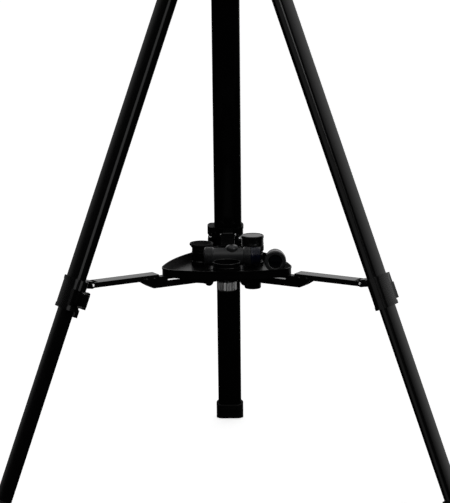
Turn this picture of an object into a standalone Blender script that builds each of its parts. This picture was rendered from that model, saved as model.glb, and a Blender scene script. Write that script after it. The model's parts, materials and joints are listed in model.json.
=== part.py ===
"""Telescope-style tripod with a fluid head, spreader and accessory tray.

Frame: +Z up, floor at z = 0, origin under the centre of the footprint.  The legs stand at azimuths
-150, -30 and +90 degrees, and the pan handle points along -Y.  Lengths below are millimetres and are
scaled to metres by MM where a shape is made.
"""
import math

import bmesh
import bpy
from mathutils import Matrix, Vector

MM = 0.001
GAP = 0.3  # clearance between pieces that touch

# --- Driving dimensions of the stand ---------------------------------------------------------------
LEG_NAMES = ("a", "b", "c")
LEG_AZIMUTHS = (-150.0, -30.0, 90.0)
LEG_TILT = 21.52  # degrees from vertical at full spread
PIVOT_RADIUS = 70.0
PIVOT_HEIGHT = 1070.0
LEG_REACH = PIVOT_HEIGHT / math.cos(math.radians(LEG_TILT))  # pivot to floor along the leg

UPPER_WIDE, UPPER_THIN, TUBE_WALL = 54.0, 22.0, 1.5
LOWER_WIDE, LOWER_THIN = 46.7, 17.6
TUBE_INSET = TUBE_WALL + GAP  # from a tube's outside to a plug inside it
UPPER_TOP, UPPER_END = 26.0 + GAP, 738.0
LOWER_TOP, LOWER_END = 480.0, 1135.0

# --- Spreader: hinge at the collar, pivot at the hub -----------------------------------------------
HINGE_RADIUS = 292.0
HINGE_HEIGHT = 422.0
HUB_PIVOT_RADIUS = 42.0
HUB_PIVOT_DROP = 18.0
HUB_HALF_WIDTH = 12.5
BAR_HALF_WIDTH, BAR_HALF_HEIGHT, BAR_SHEET = 13.0, 5.0, 1.5
CHANNEL_HALF_WIDTH, CHANNEL_SHEET = 15.5, 2.1
BAR_INNER_RADIUS = 153.0
RIVET_RADII = (164.0, 180.0)
RIVET_DROP = 2.2

# --- Collar and its flip lever ---------------------------------------------------------------------
COLLAR_TOP, COLLAR_END = 680.5, 740.5
COLLAR_WALL = 3.9
LEVER_PIVOT = (-14.0, 34.5)  # leg frame x, y
LEVER_TOP, LEVER_END = 703.0, 727.0
LEVER_RIBS = (-5.0, -0.5, 4.0)
EAR_THICKNESS = 3.7

# --- Tray -------------------------------------------------------------------------------------------
TRAY_CORNER, TRAY_SIDE, TRAY_CORNER_ARC = 136.0, 98.0, 28.0
TRAY_TOP, TRAY_BOTTOM, TRAY_FLOOR, TRAY_WALL = 12.0, -4.0, 2.0, 1.8
TRAY_HOLE_RADIUS, TRAY_HOLE_RING = 16.4, 56.0
TRAY_HOLE_AZIMUTHS = (30.0, 150.0, -90.0)
EYEPIECE_BARREL = 31.75 / 2.0
KNOB_RADIUS, KNOB_LOW, KNOB_TOP = 19.0, -45.5, -25.5
BARLOW_FACE = 43.0
BARLOW_REST = (2.0, -12.0, 22.0)  # above the tray's level
LYING_EYEPIECE_REST = (91.0, -24.0, 19.0)

# --- Fluid head -------------------------------------------------------------------------------------
CROWN_TOP = 1105.0
TILT_HEIGHT = 1190.0
HANDLE_DROP = 20.0  # degrees below level
HANDLE_LENGTH = 150.0
HANDLE_RADIUS, HANDLE_START = 6.0, 16.0
HANDLE_OFFSET = 10.0  # handle's axis beyond the clamp's face
SHAFT_RADIUS, BOSS_FACE = 10.0, 46.0
PLATE_TOP, PAD_TOP = 1236.0, 1241.0
LEVEL_Y, LEVEL_SEAT = 34.0, 1143.5
PAN_LOCK_HEIGHT = 1134.0
DECK_LOW, DECK_TOP, RAIL_TOP = 1218.0, 1226.0, 1238.0
DECK_HALF_LENGTH, DECK_HALF_WIDTH, RAIL_INNER = 48.0, 34.5, 27.0
PLATE_LOCK = (30.0, 1231.0)  # y, z of the plate's side screw

# --- Pins, bolts and the holes they turn in ----------------------------------------------------------
BOLT_RADIUS, BOLT_HOLE = 5.0, 5.6
SCREW_RADIUS, SCREW_HOLE = 4.0, 4.6
HINGE_PIN_RADIUS, HINGE_PIN_HOLE = 2.5, 2.8
PIVOT_HOLE = 2.3
RIVET_SHANK, RIVET_HOLE = 1.5, 1.8

ROUND = 18  # sides of a large round piece
SMALL = 8  # sides of a pin or a rivet


# --- Shape helpers ----------------------------------------------------------------------------------
def clear_scene():
    for obj in list(bpy.data.objects):
        bpy.data.objects.remove(obj, do_unlink=True)


def collection(name):
    made = bpy.data.collections.new(name)
    bpy.context.scene.collection.children.link(made)
    return made


def blank(mesh):
    """A working solid, kept with the cutters until it is baked into a piece."""
    obj = bpy.data.objects.new("blank", mesh)
    CUTTERS.objects.link(obj)
    obj.hide_render = True
    obj.display_type = "WIRE"
    return obj


def mesh_from(bm):
    mesh = bpy.data.meshes.new("blank")
    bmesh.ops.recalc_face_normals(bm, faces=bm.faces)
    bm.to_mesh(mesh)
    bm.free()
    return mesh


def move(obj, x=0.0, y=0.0, z=0.0):
    obj.data.transform(Matrix.Translation(Vector((x, y, z)) * MM))
    return obj


def turn(obj, degrees, axis):
    obj.data.transform(Matrix.Rotation(math.radians(degrees), 4, axis))
    return obj


def box(low, high):
    bm = bmesh.new()
    bmesh.ops.create_cube(bm, size=1.0)
    size = [(b - a) * MM for a, b in zip(low, high)]
    centre = [(b + a) * MM / 2 for a, b in zip(low, high)]
    place = Matrix.Translation(centre) @ Matrix.Diagonal((*size, 1.0))
    bmesh.ops.transform(bm, matrix=place, verts=bm.verts)
    return blank(mesh_from(bm))


def rod(radius, low, high, sides=ROUND, end_radius=None):
    """A round bar or cone along Z from low to high."""
    bm = bmesh.new()
    top = radius if end_radius is None else end_radius
    bmesh.ops.create_cone(
        bm, cap_ends=True, segments=sides, radius1=radius * MM, radius2=top * MM, depth=(high - low) * MM
    )
    bmesh.ops.translate(bm, verts=bm.verts, vec=(0, 0, (low + high) * MM / 2))
    return blank(mesh_from(bm))


def cross_rod(radius, half_length, x, z, sides=SMALL):
    """A round bar along Y through (x, z)."""
    return move(turn(rod(radius, -half_length, half_length, sides), 90, "X"), x=x, z=z)


def turned(profile, sides=ROUND):
    """A closed turned shape: (radius, height) points run down the outer side, then up any bore."""
    bm = bmesh.new()
    verts = [bm.verts.new((r * MM, 0, z * MM)) for r, z in profile]
    for start, end in zip(verts, verts[1:]):
        bm.edges.new((start, end))
    if min(r for r, _ in profile) > 0:
        bm.edges.new((verts[-1], verts[0]))
    mesh = bpy.data.meshes.new("profile")
    bm.to_mesh(mesh)
    bm.free()
    obj = blank(mesh)
    screw = obj.modifiers.new("Turn", "SCREW")
    screw.steps = screw.render_steps = sides
    screw.use_merge_vertices = True
    screw.merge_threshold = 0.00001
    return bake(obj)


def outline(points, thickness, *holes):
    """A flat plate of the given outline and holes, centred on z = 0."""
    curve = bpy.data.curves.new("outline", "CURVE")
    curve.dimensions = "2D"
    curve.fill_mode = "BOTH"
    curve.extrude = thickness * MM / 2
    for loop in (points, *holes):
        spline = curve.splines.new("POLY")
        spline.points.add(len(loop) - 1)
        for point, (x, y) in zip(spline.points, loop):
            point.co = (x * MM, y * MM, 0, 1)
        spline.use_cyclic_u = True
    return bake(blank(curve))


def bake(obj):
    """The evaluated shape as a plain closed mesh."""
    depsgraph = bpy.context.evaluated_depsgraph_get()
    mesh = bpy.data.meshes.new_from_object(obj.evaluated_get(depsgraph))
    bm = bmesh.new()
    bm.from_mesh(mesh)
    bmesh.ops.remove_doubles(bm, verts=bm.verts, dist=0.000005)
    bmesh.ops.recalc_face_normals(bm, faces=bm.faces)
    bm.to_mesh(mesh)
    bm.free()
    bpy.data.objects.remove(obj, do_unlink=True)
    return blank(mesh)


def combine(obj, others, operation):
    for other in others:
        step = obj.modifiers.new(operation.title(), "BOOLEAN")
        step.operation = operation
        step.solver = "EXACT"
        step.object = other
    made = bake(obj)
    for other in others:
        bpy.data.objects.remove(other, do_unlink=True)
    return made


def join(obj, *others):
    return combine(obj, others, "UNION")


def cut(obj, *others):
    return combine(obj, others, "DIFFERENCE")


def arc(cx, cy, radius, start, end, steps):
    angles = [math.radians(start + (end - start) * k / steps) for k in range(steps + 1)]
    return [(cx + radius * math.cos(a), cy + radius * math.sin(a)) for a in angles]


def circle(cx, cy, radius, sides=SMALL):
    return arc(cx, cy, radius, 0, 360 - 360 / sides, sides - 1)


def flat_oval(wide, thin, steps=6):
    """Outline of a tube with flat broad faces and round edges, wide along Y."""
    straight = (wide - thin) / 2
    return arc(0, straight, thin / 2, 0, 180, steps) + arc(0, -straight, thin / 2, 180, 360, steps)


def oval_bar(wide, thin, top, end, steps=6):
    """A flat-oval bar along the leg, from distance top to distance end below the pivot."""
    return move(outline(flat_oval(wide, thin, steps), end - top), z=-(top + end) / 2)


def side_plate(points, thickness, y=0.0):
    """A plate whose outline is drawn in X and Z and whose thickness runs along Y."""
    return move(turn(outline(points, thickness), 90, "X"), y=y)


def fluted(radius, depth, flutes, low, high):
    """A round grip with rounded flutes, along Z."""
    points = []
    steps = flutes * 4
    for k in range(steps):
        r = radius - depth * (0.5 - 0.5 * math.cos(math.pi * k / 2)) ** 2
        angle = 2 * math.pi * k / steps
        points.append((r * math.cos(angle), r * math.sin(angle)))
    return move(outline(points, high - low), z=(low + high) / 2)


# --- Placing pieces ---------------------------------------------------------------------------------
def empty(name, parent=None, location=(0, 0, 0), rotation=(0, 0, 0)):
    obj = bpy.data.objects.new(name, None)
    PARTS.objects.link(obj)
    obj.parent = parent
    obj.location = Vector(location) * MM
    obj.rotation_euler = [math.radians(a) for a in rotation]
    return obj


def material(name, colour, roughness, metallic):
    made = bpy.data.materials.new(name)
    made.use_nodes = True
    shader = made.node_tree.nodes["Principled BSDF"]
    shader.inputs["Base Color"].default_value = (*colour, 1.0)
    shader.inputs["Roughness"].default_value = roughness
    shader.inputs["Metallic"].default_value = metallic
    return made


LOOKS = {
    "black_paint": ((0.012, 0.012, 0.013), 0.32, 0.0),
    "black_plastic": ((0.016, 0.016, 0.017), 0.45, 0.0),
    "grey_paint": ((0.035, 0.035, 0.037), 0.35, 0.0),
    "bright_steel": ((0.78, 0.78, 0.78), 0.22, 1.0),
    "aluminium": ((0.66, 0.67, 0.68), 0.35, 1.0),
    "rubber": ((0.014, 0.014, 0.014), 0.8, 0.0),
    "mid_grey": ((0.06, 0.062, 0.064), 0.4, 0.0),
    "dark_blue": ((0.006, 0.01, 0.04), 0.35, 0.0),
    "level_fluid": ((0.45, 0.7, 0.25), 0.1, 0.0),
}


def piece(name, shape, look, parent=None, location=(0, 0, 0)):
    """Turn a working solid into a finished, named sub-part."""
    mesh = shape.data
    mesh.name = name
    bpy.data.objects.remove(shape, do_unlink=True)
    return copy_of(name, mesh, look, parent, location)


def copy_of(name, mesh, look, parent=None, location=(0, 0, 0)):
    if not mesh.materials:
        mesh.materials.append(material(name, *LOOKS[look]))
    mesh.shade_smooth()
    mesh.set_sharp_from_angle(angle=math.radians(35))
    obj = bpy.data.objects.new(name, mesh)
    PARTS.objects.link(obj)
    obj.parent = parent
    obj.location = Vector(location) * MM
    return obj


# --- Crown ------------------------------------------------------------------------------------------
def crown_body():
    """Round casting with a pair of pivot lugs for each leg, drawn with the pivots at z = 0."""
    top = CROWN_TOP - PIVOT_HEIGHT
    flange = [(0, top), (48, top), (50, top - 2), (50, top - 6), (46, top - 9)]
    body = turned(flange + [(46, -12), (42, -16), (0, -16)])
    lugs = []
    end = arc(PIVOT_RADIUS, 0, 13.0, 90, -90, 6)
    for azimuth in LEG_AZIMUTHS:
        for side in (-25.5, 25.5):
            lug = side_plate([(30, 13)] + end + [(30, -13)], 8.0, y=side)
            lugs.append(turn(lug, azimuth, "Z"))
    body = join(body, *lugs)
    holes = [turn(cross_rod(BOLT_HOLE, 40, PIVOT_RADIUS, 0), azimuth, "Z") for azimuth in LEG_AZIMUTHS]
    return cut(body, rod(BOLT_HOLE, -30, 60, SMALL), *holes)


def leg_bolt():
    """Pivot bolt with a domed head and nut, drawn along Y through the pivot."""
    profile = [(0, 36), (5, 35.5), (8, 33), (8.5, 29.8), (BOLT_RADIUS, 29.8)]
    return turn(turned(profile + [(r, -z) for r, z in reversed(profile)], SMALL), 90, "X")


def head_clamp_knob():
    """Hand knob under the crown with the stud that draws the head down."""
    grip = fluted(17.0, 2.0, 8, -44.0, -24.0)
    stem = rod(9.0, -26.0, -16.0 - GAP, ROUND)
    stud = rod(4.9, -20.0, 47.0, SMALL)
    return join(grip, stem, stud)


# --- Legs -------------------------------------------------------------------------------------------
def leg_knuckle():
    """Eye that turns between the crown's lugs, with a plug that closes the tube's top."""
    eye = side_plate([(11, -24)] + arc(0, 0, 11.0, 0, 180, 8) + [(-11, -24)], 42.0)
    shoulder = oval_bar(UPPER_WIDE, UPPER_THIN, 20.0, 26.0)
    plug = oval_bar(UPPER_WIDE - 2 * TUBE_INSET, UPPER_THIN - 2 * TUBE_INSET, 24.0, 62.0)
    return cut(join(eye, shoulder, plug), cross_rod(BOLT_HOLE, 40, 0, 0))


def tube(wide, thin, top, end):
    inside = flat_oval(wide - 2 * TUBE_WALL, thin - 2 * TUBE_WALL)
    return move(outline(flat_oval(wide, thin), end - top, inside), z=-(top + end) / 2)


def collar():
    """Casting round the foot of the upper tube, with the spreader's lug and the lever's ears."""
    wide, thin = UPPER_WIDE + 2 * COLLAR_WALL, UPPER_THIN + 2 * COLLAR_WALL
    body = oval_bar(wide, thin, COLLAR_TOP, COLLAR_END)
    hx, hz = HINGE_IN_LEG
    lug = side_plate([(-13, hz + 3.5)] + arc(hx, hz, 7.0, 90, 270, 6) + [(-13, hz - 11)], 20.0)
    nose = outline([(-9, 20)] + arc(0, 31.5, 9.0, 180, 0, 10) + [(9, 20)], 19.0)
    pad = box((4, 20, -731), (13, 30.5, -700))
    sleeve = box((-14, 17, -750), (-3, 28, -735))
    px, py = LEVER_PIVOT
    ears = []
    for top in (LEVER_END + GAP, LEVER_TOP - GAP - EAR_THICKNESS):
        ear = outline([(-13.5, 16)] + arc(px, py, 5.0, 180, 20, 6) + [(-1, 25)], EAR_THICKNESS)
        ears.append(move(ear, z=-(top + EAR_THICKNESS / 2)))
    body = join(body, lug, move(nose, z=-690.5), pad, sleeve, *ears)
    socket = oval_bar(UPPER_WIDE + 2 * GAP, UPPER_THIN + 2 * GAP, COLLAR_TOP - 5, UPPER_END + GAP)
    throat = oval_bar(LOWER_WIDE + 0.8, LOWER_THIN + 0.8, COLLAR_TOP - 5, COLLAR_END + 15)
    pin_hole = cross_rod(HINGE_PIN_HOLE, 20, hx, hz)
    return cut(body, socket, throat, pin_hole, lever_pin_hole())


def lever_pin_hole():
    px, py = LEVER_PIVOT
    return move(rod(PIVOT_HOLE, -740, -695, SMALL), x=px, y=py)


def lock_lever():
    """Cam lever on the collar's narrow edge: a barrel round its pin and a ribbed paddle across the edge."""
    px, py = LEVER_PIVOT
    half = (LEVER_END - LEVER_TOP) / 2
    middle = -(LEVER_TOP + LEVER_END) / 2
    barrel = move(rod(5.4, -half, half, 20), x=px, y=py, z=middle)
    paddle = outline([(px, py + 3)] + arc(5, py - 0.5, 2.5, 90, -90, 4) + [(px, py - 3)], 2 * half)
    paddle = move(paddle, z=middle)
    ribs = []
    for x in LEVER_RIBS:
        ribs.append(box((x, py, middle - half + 1.5), (x + 2.2, py + 4.4, middle + half - 1.5)))
    return cut(join(barrel, paddle, *ribs), lever_pin_hole())


def clamp_pin():
    """Pin through the lever and both ears, with a small head above."""
    px, py = LEVER_PIVOT
    under_head, end = -(LEVER_TOP - EAR_THICKNESS - GAP) + GAP, -(LEVER_END + 4)
    head = [(0, under_head + 1.2), (3, under_head + 0.7), (3, under_head), (2, under_head)]
    return move(turned(head + [(2, end), (0, end)], SMALL), x=px, y=py)


def foot():
    """Rubber shoe on the lower tube, its sole cut level with the floor."""
    shoe = oval_bar(55.0, 26.0, LOWER_END - 22, LEG_REACH + 14)
    socket = oval_bar(LOWER_WIDE + 2 * GAP, LOWER_THIN + 2 * GAP, LOWER_END - 30, LOWER_END + GAP)
    floor = turn(box((-80, -80, -80), (80, 80, 0)), LEG_TILT, "Y")
    return cut(shoe, socket, move(floor, z=-LEG_REACH))


# --- Spreader ---------------------------------------------------------------------------------------
def arm_bar():
    """Slim inverted channel from the collar hinge to the inner channel, drawn from the hinge."""
    inner = BAR_INNER_RADIUS - HINGE_RADIUS
    half = BAR_HALF_HEIGHT
    side = [(inner, -half)] + arc(0, 0, half, -90, 90, 6) + [(inner, half)]
    body = side_plate(side, 2 * BAR_HALF_WIDTH)
    inside = BAR_HALF_WIDTH - BAR_SHEET
    hollow = box((inner - 5, -inside, -half - 5), (half + 5, inside, half - BAR_SHEET))
    mouth = box((-12, -inside, -half - 5), (half + 5, inside, half + 5))
    return cut(body, hollow, mouth, cross_rod(HINGE_PIN_HOLE, 30, 0, 0), *rivet_holes())


def rivet_holes():
    return [cross_rod(RIVET_HOLE, 30, radius - HINGE_RADIUS, -RIVET_DROP) for radius in RIVET_RADII]


def arm_channel():
    """Wide channel, open upward, whose cheeks fork round the hub's tongue."""
    pivot_x = HUB_PIVOT_RADIUS - HINGE_RADIUS
    drop = -HUB_PIVOT_DROP
    side = arc(pivot_x + 4.5, drop - 2, 9.0, 330, 165, 8)
    side += [(pivot_x - 1, drop + 4.5), (pivot_x + 20, drop + 4.5), (pivot_x + 45, -5)]
    side += [(-150, -5), (-147, 1), (-112, 1), (-106, -1), (-105, -6.5), (-108, -9)]
    side += [(-124, -19), (-127, -20), (-217, -20), (-236, -22.5)]
    body = side_plate(side, 2 * CHANNEL_HALF_WIDTH)
    inside = CHANNEL_HALF_WIDTH - CHANNEL_SHEET
    hollow = box((-270, -inside, -18.5), (-90, inside, 20))
    fork = box((-270, -inside, -40), (-217, inside, 20))
    return cut(body, hollow, fork, cross_rod(PIVOT_HOLE, 30, pivot_x, drop), *rivet_holes())


def arm_rivet():
    """Through rivet that holds the channel's and the bar's cheeks together."""
    face = CHANNEL_HALF_WIDTH + GAP
    profile = [(0, face + 1.5), (1.8, face + 1.2), (2.9, face), (RIVET_SHANK, face)]
    rivet = turn(turned(profile + [(r, -z) for r, z in reversed(profile)], SMALL), 90, "X")
    return move(rivet, x=RIVET_RADII[0] - HINGE_RADIUS, z=-RIVET_DROP)


def hinge_pin():
    """Bright pin with a head at each end, through the bar's cheeks and the collar's lug."""
    face = BAR_HALF_WIDTH + GAP
    head = [(0, face + 2.3), (3.0, face + 2.1), (3.6, face + 1.3), (3.6, face)]
    profile = head + [(HINGE_PIN_RADIUS, face)]
    return turn(turned(profile + [(r, -z) for r, z in reversed(profile)], SMALL), 90, "X")


def spreader_hub():
    """Y-shaped casting with a tongue for each arm and a round seat for the tray."""
    drop = -HUB_PIVOT_DROP
    core = rod(17.5, -24.0, TRAY_BOTTOM - GAP)
    tongues = []
    for azimuth in LEG_AZIMUTHS:
        side = [(0, drop - 5)] + arc(HUB_PIVOT_RADIUS, drop, 5.0, -90, 90, 5) + [(0, drop + 5)]
        tongues.append(turn(side_plate(side, 2 * HUB_HALF_WIDTH), azimuth, "Z"))
    body = join(core, *tongues)
    pivots = [cross_rod(PIVOT_HOLE, 20, HUB_PIVOT_RADIUS, drop) for _ in LEG_AZIMUTHS]
    holes = [turn(pivot, azimuth, "Z") for pivot, azimuth in zip(pivots, LEG_AZIMUTHS)]
    return cut(body, rod(SCREW_HOLE, -40, 20, SMALL), *holes)


# --- Tray -------------------------------------------------------------------------------------------
def tray_outline(inset=0.0):
    """Three bowed sides tangent to three corner arcs, the corners over the arms."""
    corner_centre = TRAY_CORNER - TRAY_CORNER_ARC
    near, across = corner_centre * 0.5, corner_centre * math.sqrt(3) / 2
    flat = TRAY_SIDE - TRAY_CORNER_ARC
    bow = (near * near + across * across - flat * flat) / (2 * (flat - near))
    half_angle = math.degrees(math.atan2(across, near + bow))
    points = []
    for azimuth in LEG_AZIMUTHS:
        a = math.radians(azimuth)
        cx, cy = corner_centre * math.cos(a), corner_centre * math.sin(a)
        spread = 60 - half_angle
        points += arc(cx, cy, TRAY_CORNER_ARC - inset, azimuth - spread, azimuth + spread, 6)
        side = azimuth + 60
        s = math.radians(side)
        ex, ey = -bow * math.cos(s), -bow * math.sin(s)
        points += arc(ex, ey, TRAY_SIDE + bow - inset, side - half_angle, side + half_angle, 6)[1:-1]
    return points


def tray_body():
    shell = move(outline(tray_outline(), TRAY_TOP - TRAY_BOTTOM), z=(TRAY_TOP + TRAY_BOTTOM) / 2)
    tabs = []
    for azimuth in LEG_AZIMUTHS:
        tab = box((122, -9.5, TRAY_BOTTOM), (143, 9.5, TRAY_BOTTOM + TRAY_FLOOR))
        tabs.append(turn(tab, azimuth, "Z"))
    shell = join(shell, *tabs)
    floor = TRAY_BOTTOM + TRAY_FLOOR
    inside = move(outline(tray_outline(TRAY_WALL), 40), z=floor + 20)
    holes = [rod(SCREW_HOLE, -20, 20, SMALL)]
    for azimuth in TRAY_HOLE_AZIMUTHS:
        a = math.radians(azimuth)
        hole = rod(TRAY_HOLE_RADIUS, -20, 20)
        holes.append(move(hole, x=TRAY_HOLE_RING * math.cos(a), y=TRAY_HOLE_RING * math.sin(a)))
    boss = rod(9.0, TRAY_BOTTOM + 0.5, 4.0)
    return cut(join(cut(shell, inside), boss), *holes)


def tray_knob():
    """Knurled knob under the hub with the screw that holds the tray."""
    grip = fluted(KNOB_RADIUS, 1.3, 20, KNOB_LOW, KNOB_TOP)
    stem = rod(9.0, -28.0, -24.0 - GAP)
    screw = rod(SCREW_RADIUS, -30.0, 5.0, SMALL)
    return join(grip, stem, screw)


# --- Accessories standing and lying in the tray -------------------------------------------------------
def wide_eyepiece():
    """Short eyepiece standing in a tray hole, with a flared cup."""
    seat = TRAY_BOTTOM + TRAY_FLOOR + GAP
    barrel = EYEPIECE_BARREL - 0.1
    cup = [(14, 30), (19.5, 40.5), (22.3, 40.0), (22.3, 37.0), (17.8, 30.5)]
    body = [(17.8, 8), (18.8, 6), (18.8, seat)]
    return turned(cup + body + [(barrel, seat), (barrel, -26), (13.5, -26), (13.5, 26)])


def storage_cup():
    """Low round cup, open at the top, over the front hole."""
    seat = TRAY_BOTTOM + TRAY_FLOOR + GAP
    floor = seat + 2.5
    inside, outside, top = 24.2, 26.4, 22.0
    wall = [(inside, floor), (inside, top), (outside, top), (outside, seat + 2)]
    return turned([(0, floor)] + wall + [(outside - 0.4, seat), (0, seat)])


def barlow_body():
    """Fat tube lying along X with ribbed rings at both ends and a low dome on top."""
    ring, waist = 18.3, 16.4
    profile = [(0, BARLOW_FACE), (15.0, BARLOW_FACE), (ring, 41.0), (ring, 30.0), (waist, 28.5)]
    profile += [(waist, -26.0), (ring, -28.0), (ring, -43.0), (15.5, -45.0), (0, -45.0)]
    body = turn(turned(profile), 90, "Y")
    saddle = turned([(0, 22.5), (6, 22.2), (10, 20.3), (12.5, 15.5), (12.5, 8), (0, 8)])
    return join(body, move(saddle, x=8))


def barlow_nose():
    """Dark collar on the barlow's end, lying on the same axis."""
    face, rim, bore = BARLOW_FACE + GAP, 61.0, 13.5
    mouth = [(0, 50), (bore, 50), (bore, rim), (16.5, rim)]
    return turn(turned(mouth + [(17.2, rim - 1), (17.2, face), (0, face)]), 90, "Y")


def capped_eyepiece():
    """Tall eyepiece whose barrel goes down through the right-hand hole, and its cap."""
    seat = TRAY_BOTTOM + TRAY_FLOOR + GAP
    barrel = EYEPIECE_BARREL - 0.1
    body = turned(
        [(0, 37.0), (20.0, 37.0), (21.4, 35.5), (21.4, 25.0), (19.0, 21.0), (19.0, 5.0), (20.4, 4.0)]
        + [(20.4, seat), (barrel, seat), (barrel, -46), (14.6, -47.5), (13.2, -47.5), (13.2, 0), (0, 0)]
    )
    cap = turned([(0, 55.0), (19.8, 55.0), (21.6, 53.0), (21.6, 37.0 + GAP), (0, 37.0 + GAP)])
    return body, cap


def lying_eyepiece():
    """Eyepiece lying along Y with its eye lens towards -Y."""
    profile = [(0, 21.0), (12.0, 21.0), (12.5, 24.0), (19.0, 25.0), (20.6, 23.0), (20.6, 6.0), (18.5, 3.0)]
    profile += [(18.5, -8.0), (15.8, -10.0), (15.8, -22.0), (0, -22.0)]
    return turn(turned(profile), 90, "X")


# --- Fluid head -------------------------------------------------------------------------------------
def head_base():
    """Round base with a blind threaded socket for the stud."""
    low = CROWN_TOP + GAP
    body = turned([(0, low + 16), (33, low + 16), (38, low + 12), (38, low + 2), (36, low), (0, low)])
    return cut(body, rod(BOLT_HOLE, low - 10, CROWN_TOP + 13, SMALL))


def pan_body():
    """Turntable housing with the block that carries the tilt cartridge along X."""
    low, top, radius = CROWN_TOP + GAP + 16 + GAP, 1148.0, 36.0
    drum = [(0, top), (radius - 4, top), (radius, top - 4), (radius, low + 2), (radius - 2, low), (0, low)]
    arch = [(-24, top - 8), (24, top - 8)] + arc(0, TILT_HEIGHT, 24.0, 0, 180, 12)
    block = turn(side_plate(arch, 50.0), 90, "Z")
    ledge = box((-16, 22, 1128), (16, 44, 1146))
    body = join(turned(drum), block, ledge)
    socket = move(rod(8.3, LEVEL_SEAT, LEVEL_SEAT + 20, 20), y=LEVEL_Y)
    screw_hole = move(turn(rod(SCREW_HOLE, -60, -18, SMALL), 90, "Y"), z=PAN_LOCK_HEIGHT)
    tilt_bore = move(turn(rod(SHAFT_RADIUS + GAP, -40, 40, 24), 90, "Y"), z=TILT_HEIGHT)
    return cut(body, socket, screw_hole, tilt_bore)


def bubble_level():
    low = LEVEL_SEAT + GAP
    top = low + 4.2
    return turned([(0, top), (7.0, top - 0.2), (8.0, top - 1), (8.0, low), (0, low)], 20)


def tilt_cradle():
    """Cheeks on both sides of the block, the cartridge shaft and the platform for the plate."""
    cheeks = []
    for side in (-1, 1):
        rim = [(-26, DECK_TOP - 2)] + arc(0, TILT_HEIGHT, 22.0, 180, 360, 10) + [(26, DECK_TOP - 2)]
        cheeks.append(move(turn(side_plate(rim, 9.0), 90, "Z"), x=side * 30.0))
    shaft = move(turn(rod(SHAFT_RADIUS, -30, 30, 24), 90, "Y"), z=TILT_HEIGHT)
    boss = move(turn(rod(12.0, 32, BOSS_FACE, 24), 90, "Y"), z=TILT_HEIGHT)
    length, width = DECK_HALF_LENGTH, DECK_HALF_WIDTH
    deck = box((-width, -length, DECK_LOW), (width, length, DECK_TOP))
    rails = [
        box((-width, -length, DECK_TOP - 2), (-RAIL_INNER, length, RAIL_TOP)),
        box((RAIL_INNER, -length, DECK_TOP - 2), (width, length, RAIL_TOP)),
    ]
    lock_y, lock_z = PLATE_LOCK
    knob_hole = move(turn(rod(SCREW_HOLE, 20, 60, SMALL), 90, "Y"), y=lock_y, z=lock_z)
    handle_hole = move(turn(rod(SCREW_HOLE, 30, 60, SMALL), 90, "Y"), z=TILT_HEIGHT)
    return cut(join(deck, *rails, *cheeks, shaft, boss), knob_hole, handle_hole)


def quick_plate():
    """Sliding camera plate with a raised pad and a slot for its screw."""
    half = RAIL_INNER - GAP
    foot_plate = box((-half, -44, DECK_TOP + GAP), (half, 44, PLATE_TOP))
    pad = box((-22, -40, PLATE_TOP - 1), (22, 40, PAD_TOP))
    return cut(join(foot_plate, pad), rod(3.6, 1200, 1260, SMALL), rod(8.5, 1200, DECK_TOP + 7, 24))


def camera_screw():
    head = rod(8.0, DECK_TOP + 2 * GAP, DECK_TOP + 6, 24)
    return join(rod(3.2, DECK_TOP + 4, PAD_TOP + 6, SMALL), head)


def side_knob(length, radius=11.0, reach=12.0):
    """A fluted knob on a stem that runs along +X from x = 0."""
    knob = join(fluted(radius, 1.4, 7, reach, length), rod(SCREW_RADIUS, 0, reach + 1, SMALL))
    return turn(knob, 90, "Y")


def handle_clamp():
    """Rosette block on the cradle's boss with the socket that grips the handle, drawn from the boss."""
    disc = turn(rod(13.0, 0, 12, 24), 90, "Y")
    arm = move(turn(rod(8.5, 0, 30, 20), 90, "X"), x=HANDLE_OFFSET)
    bore = turn(rod(SCREW_HOLE, -5, 30, SMALL), 90, "Y")
    socket = move(turn(rod(HANDLE_RADIUS + GAP, HANDLE_START, 40, 20), 90, "X"), x=HANDLE_OFFSET)
    return cut(join(disc, arm), bore, socket)


def handle_tube():
    return turn(rod(HANDLE_RADIUS, HANDLE_START + GAP, HANDLE_LENGTH, 20), 90, "X")


def handle_grip():
    """Swelling rubber sleeve over the handle's end, drawn along -Y from its closed cap."""
    outside = [(0, 0), (9, 0), (11, -3), (11, -20), (10, -60), (11.5, -95), (9, -100)]
    bore = HANDLE_RADIUS + GAP
    return turn(turned(outside + [(bore, -100), (bore, -4), (0, -4)]), -90, "X")


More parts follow.
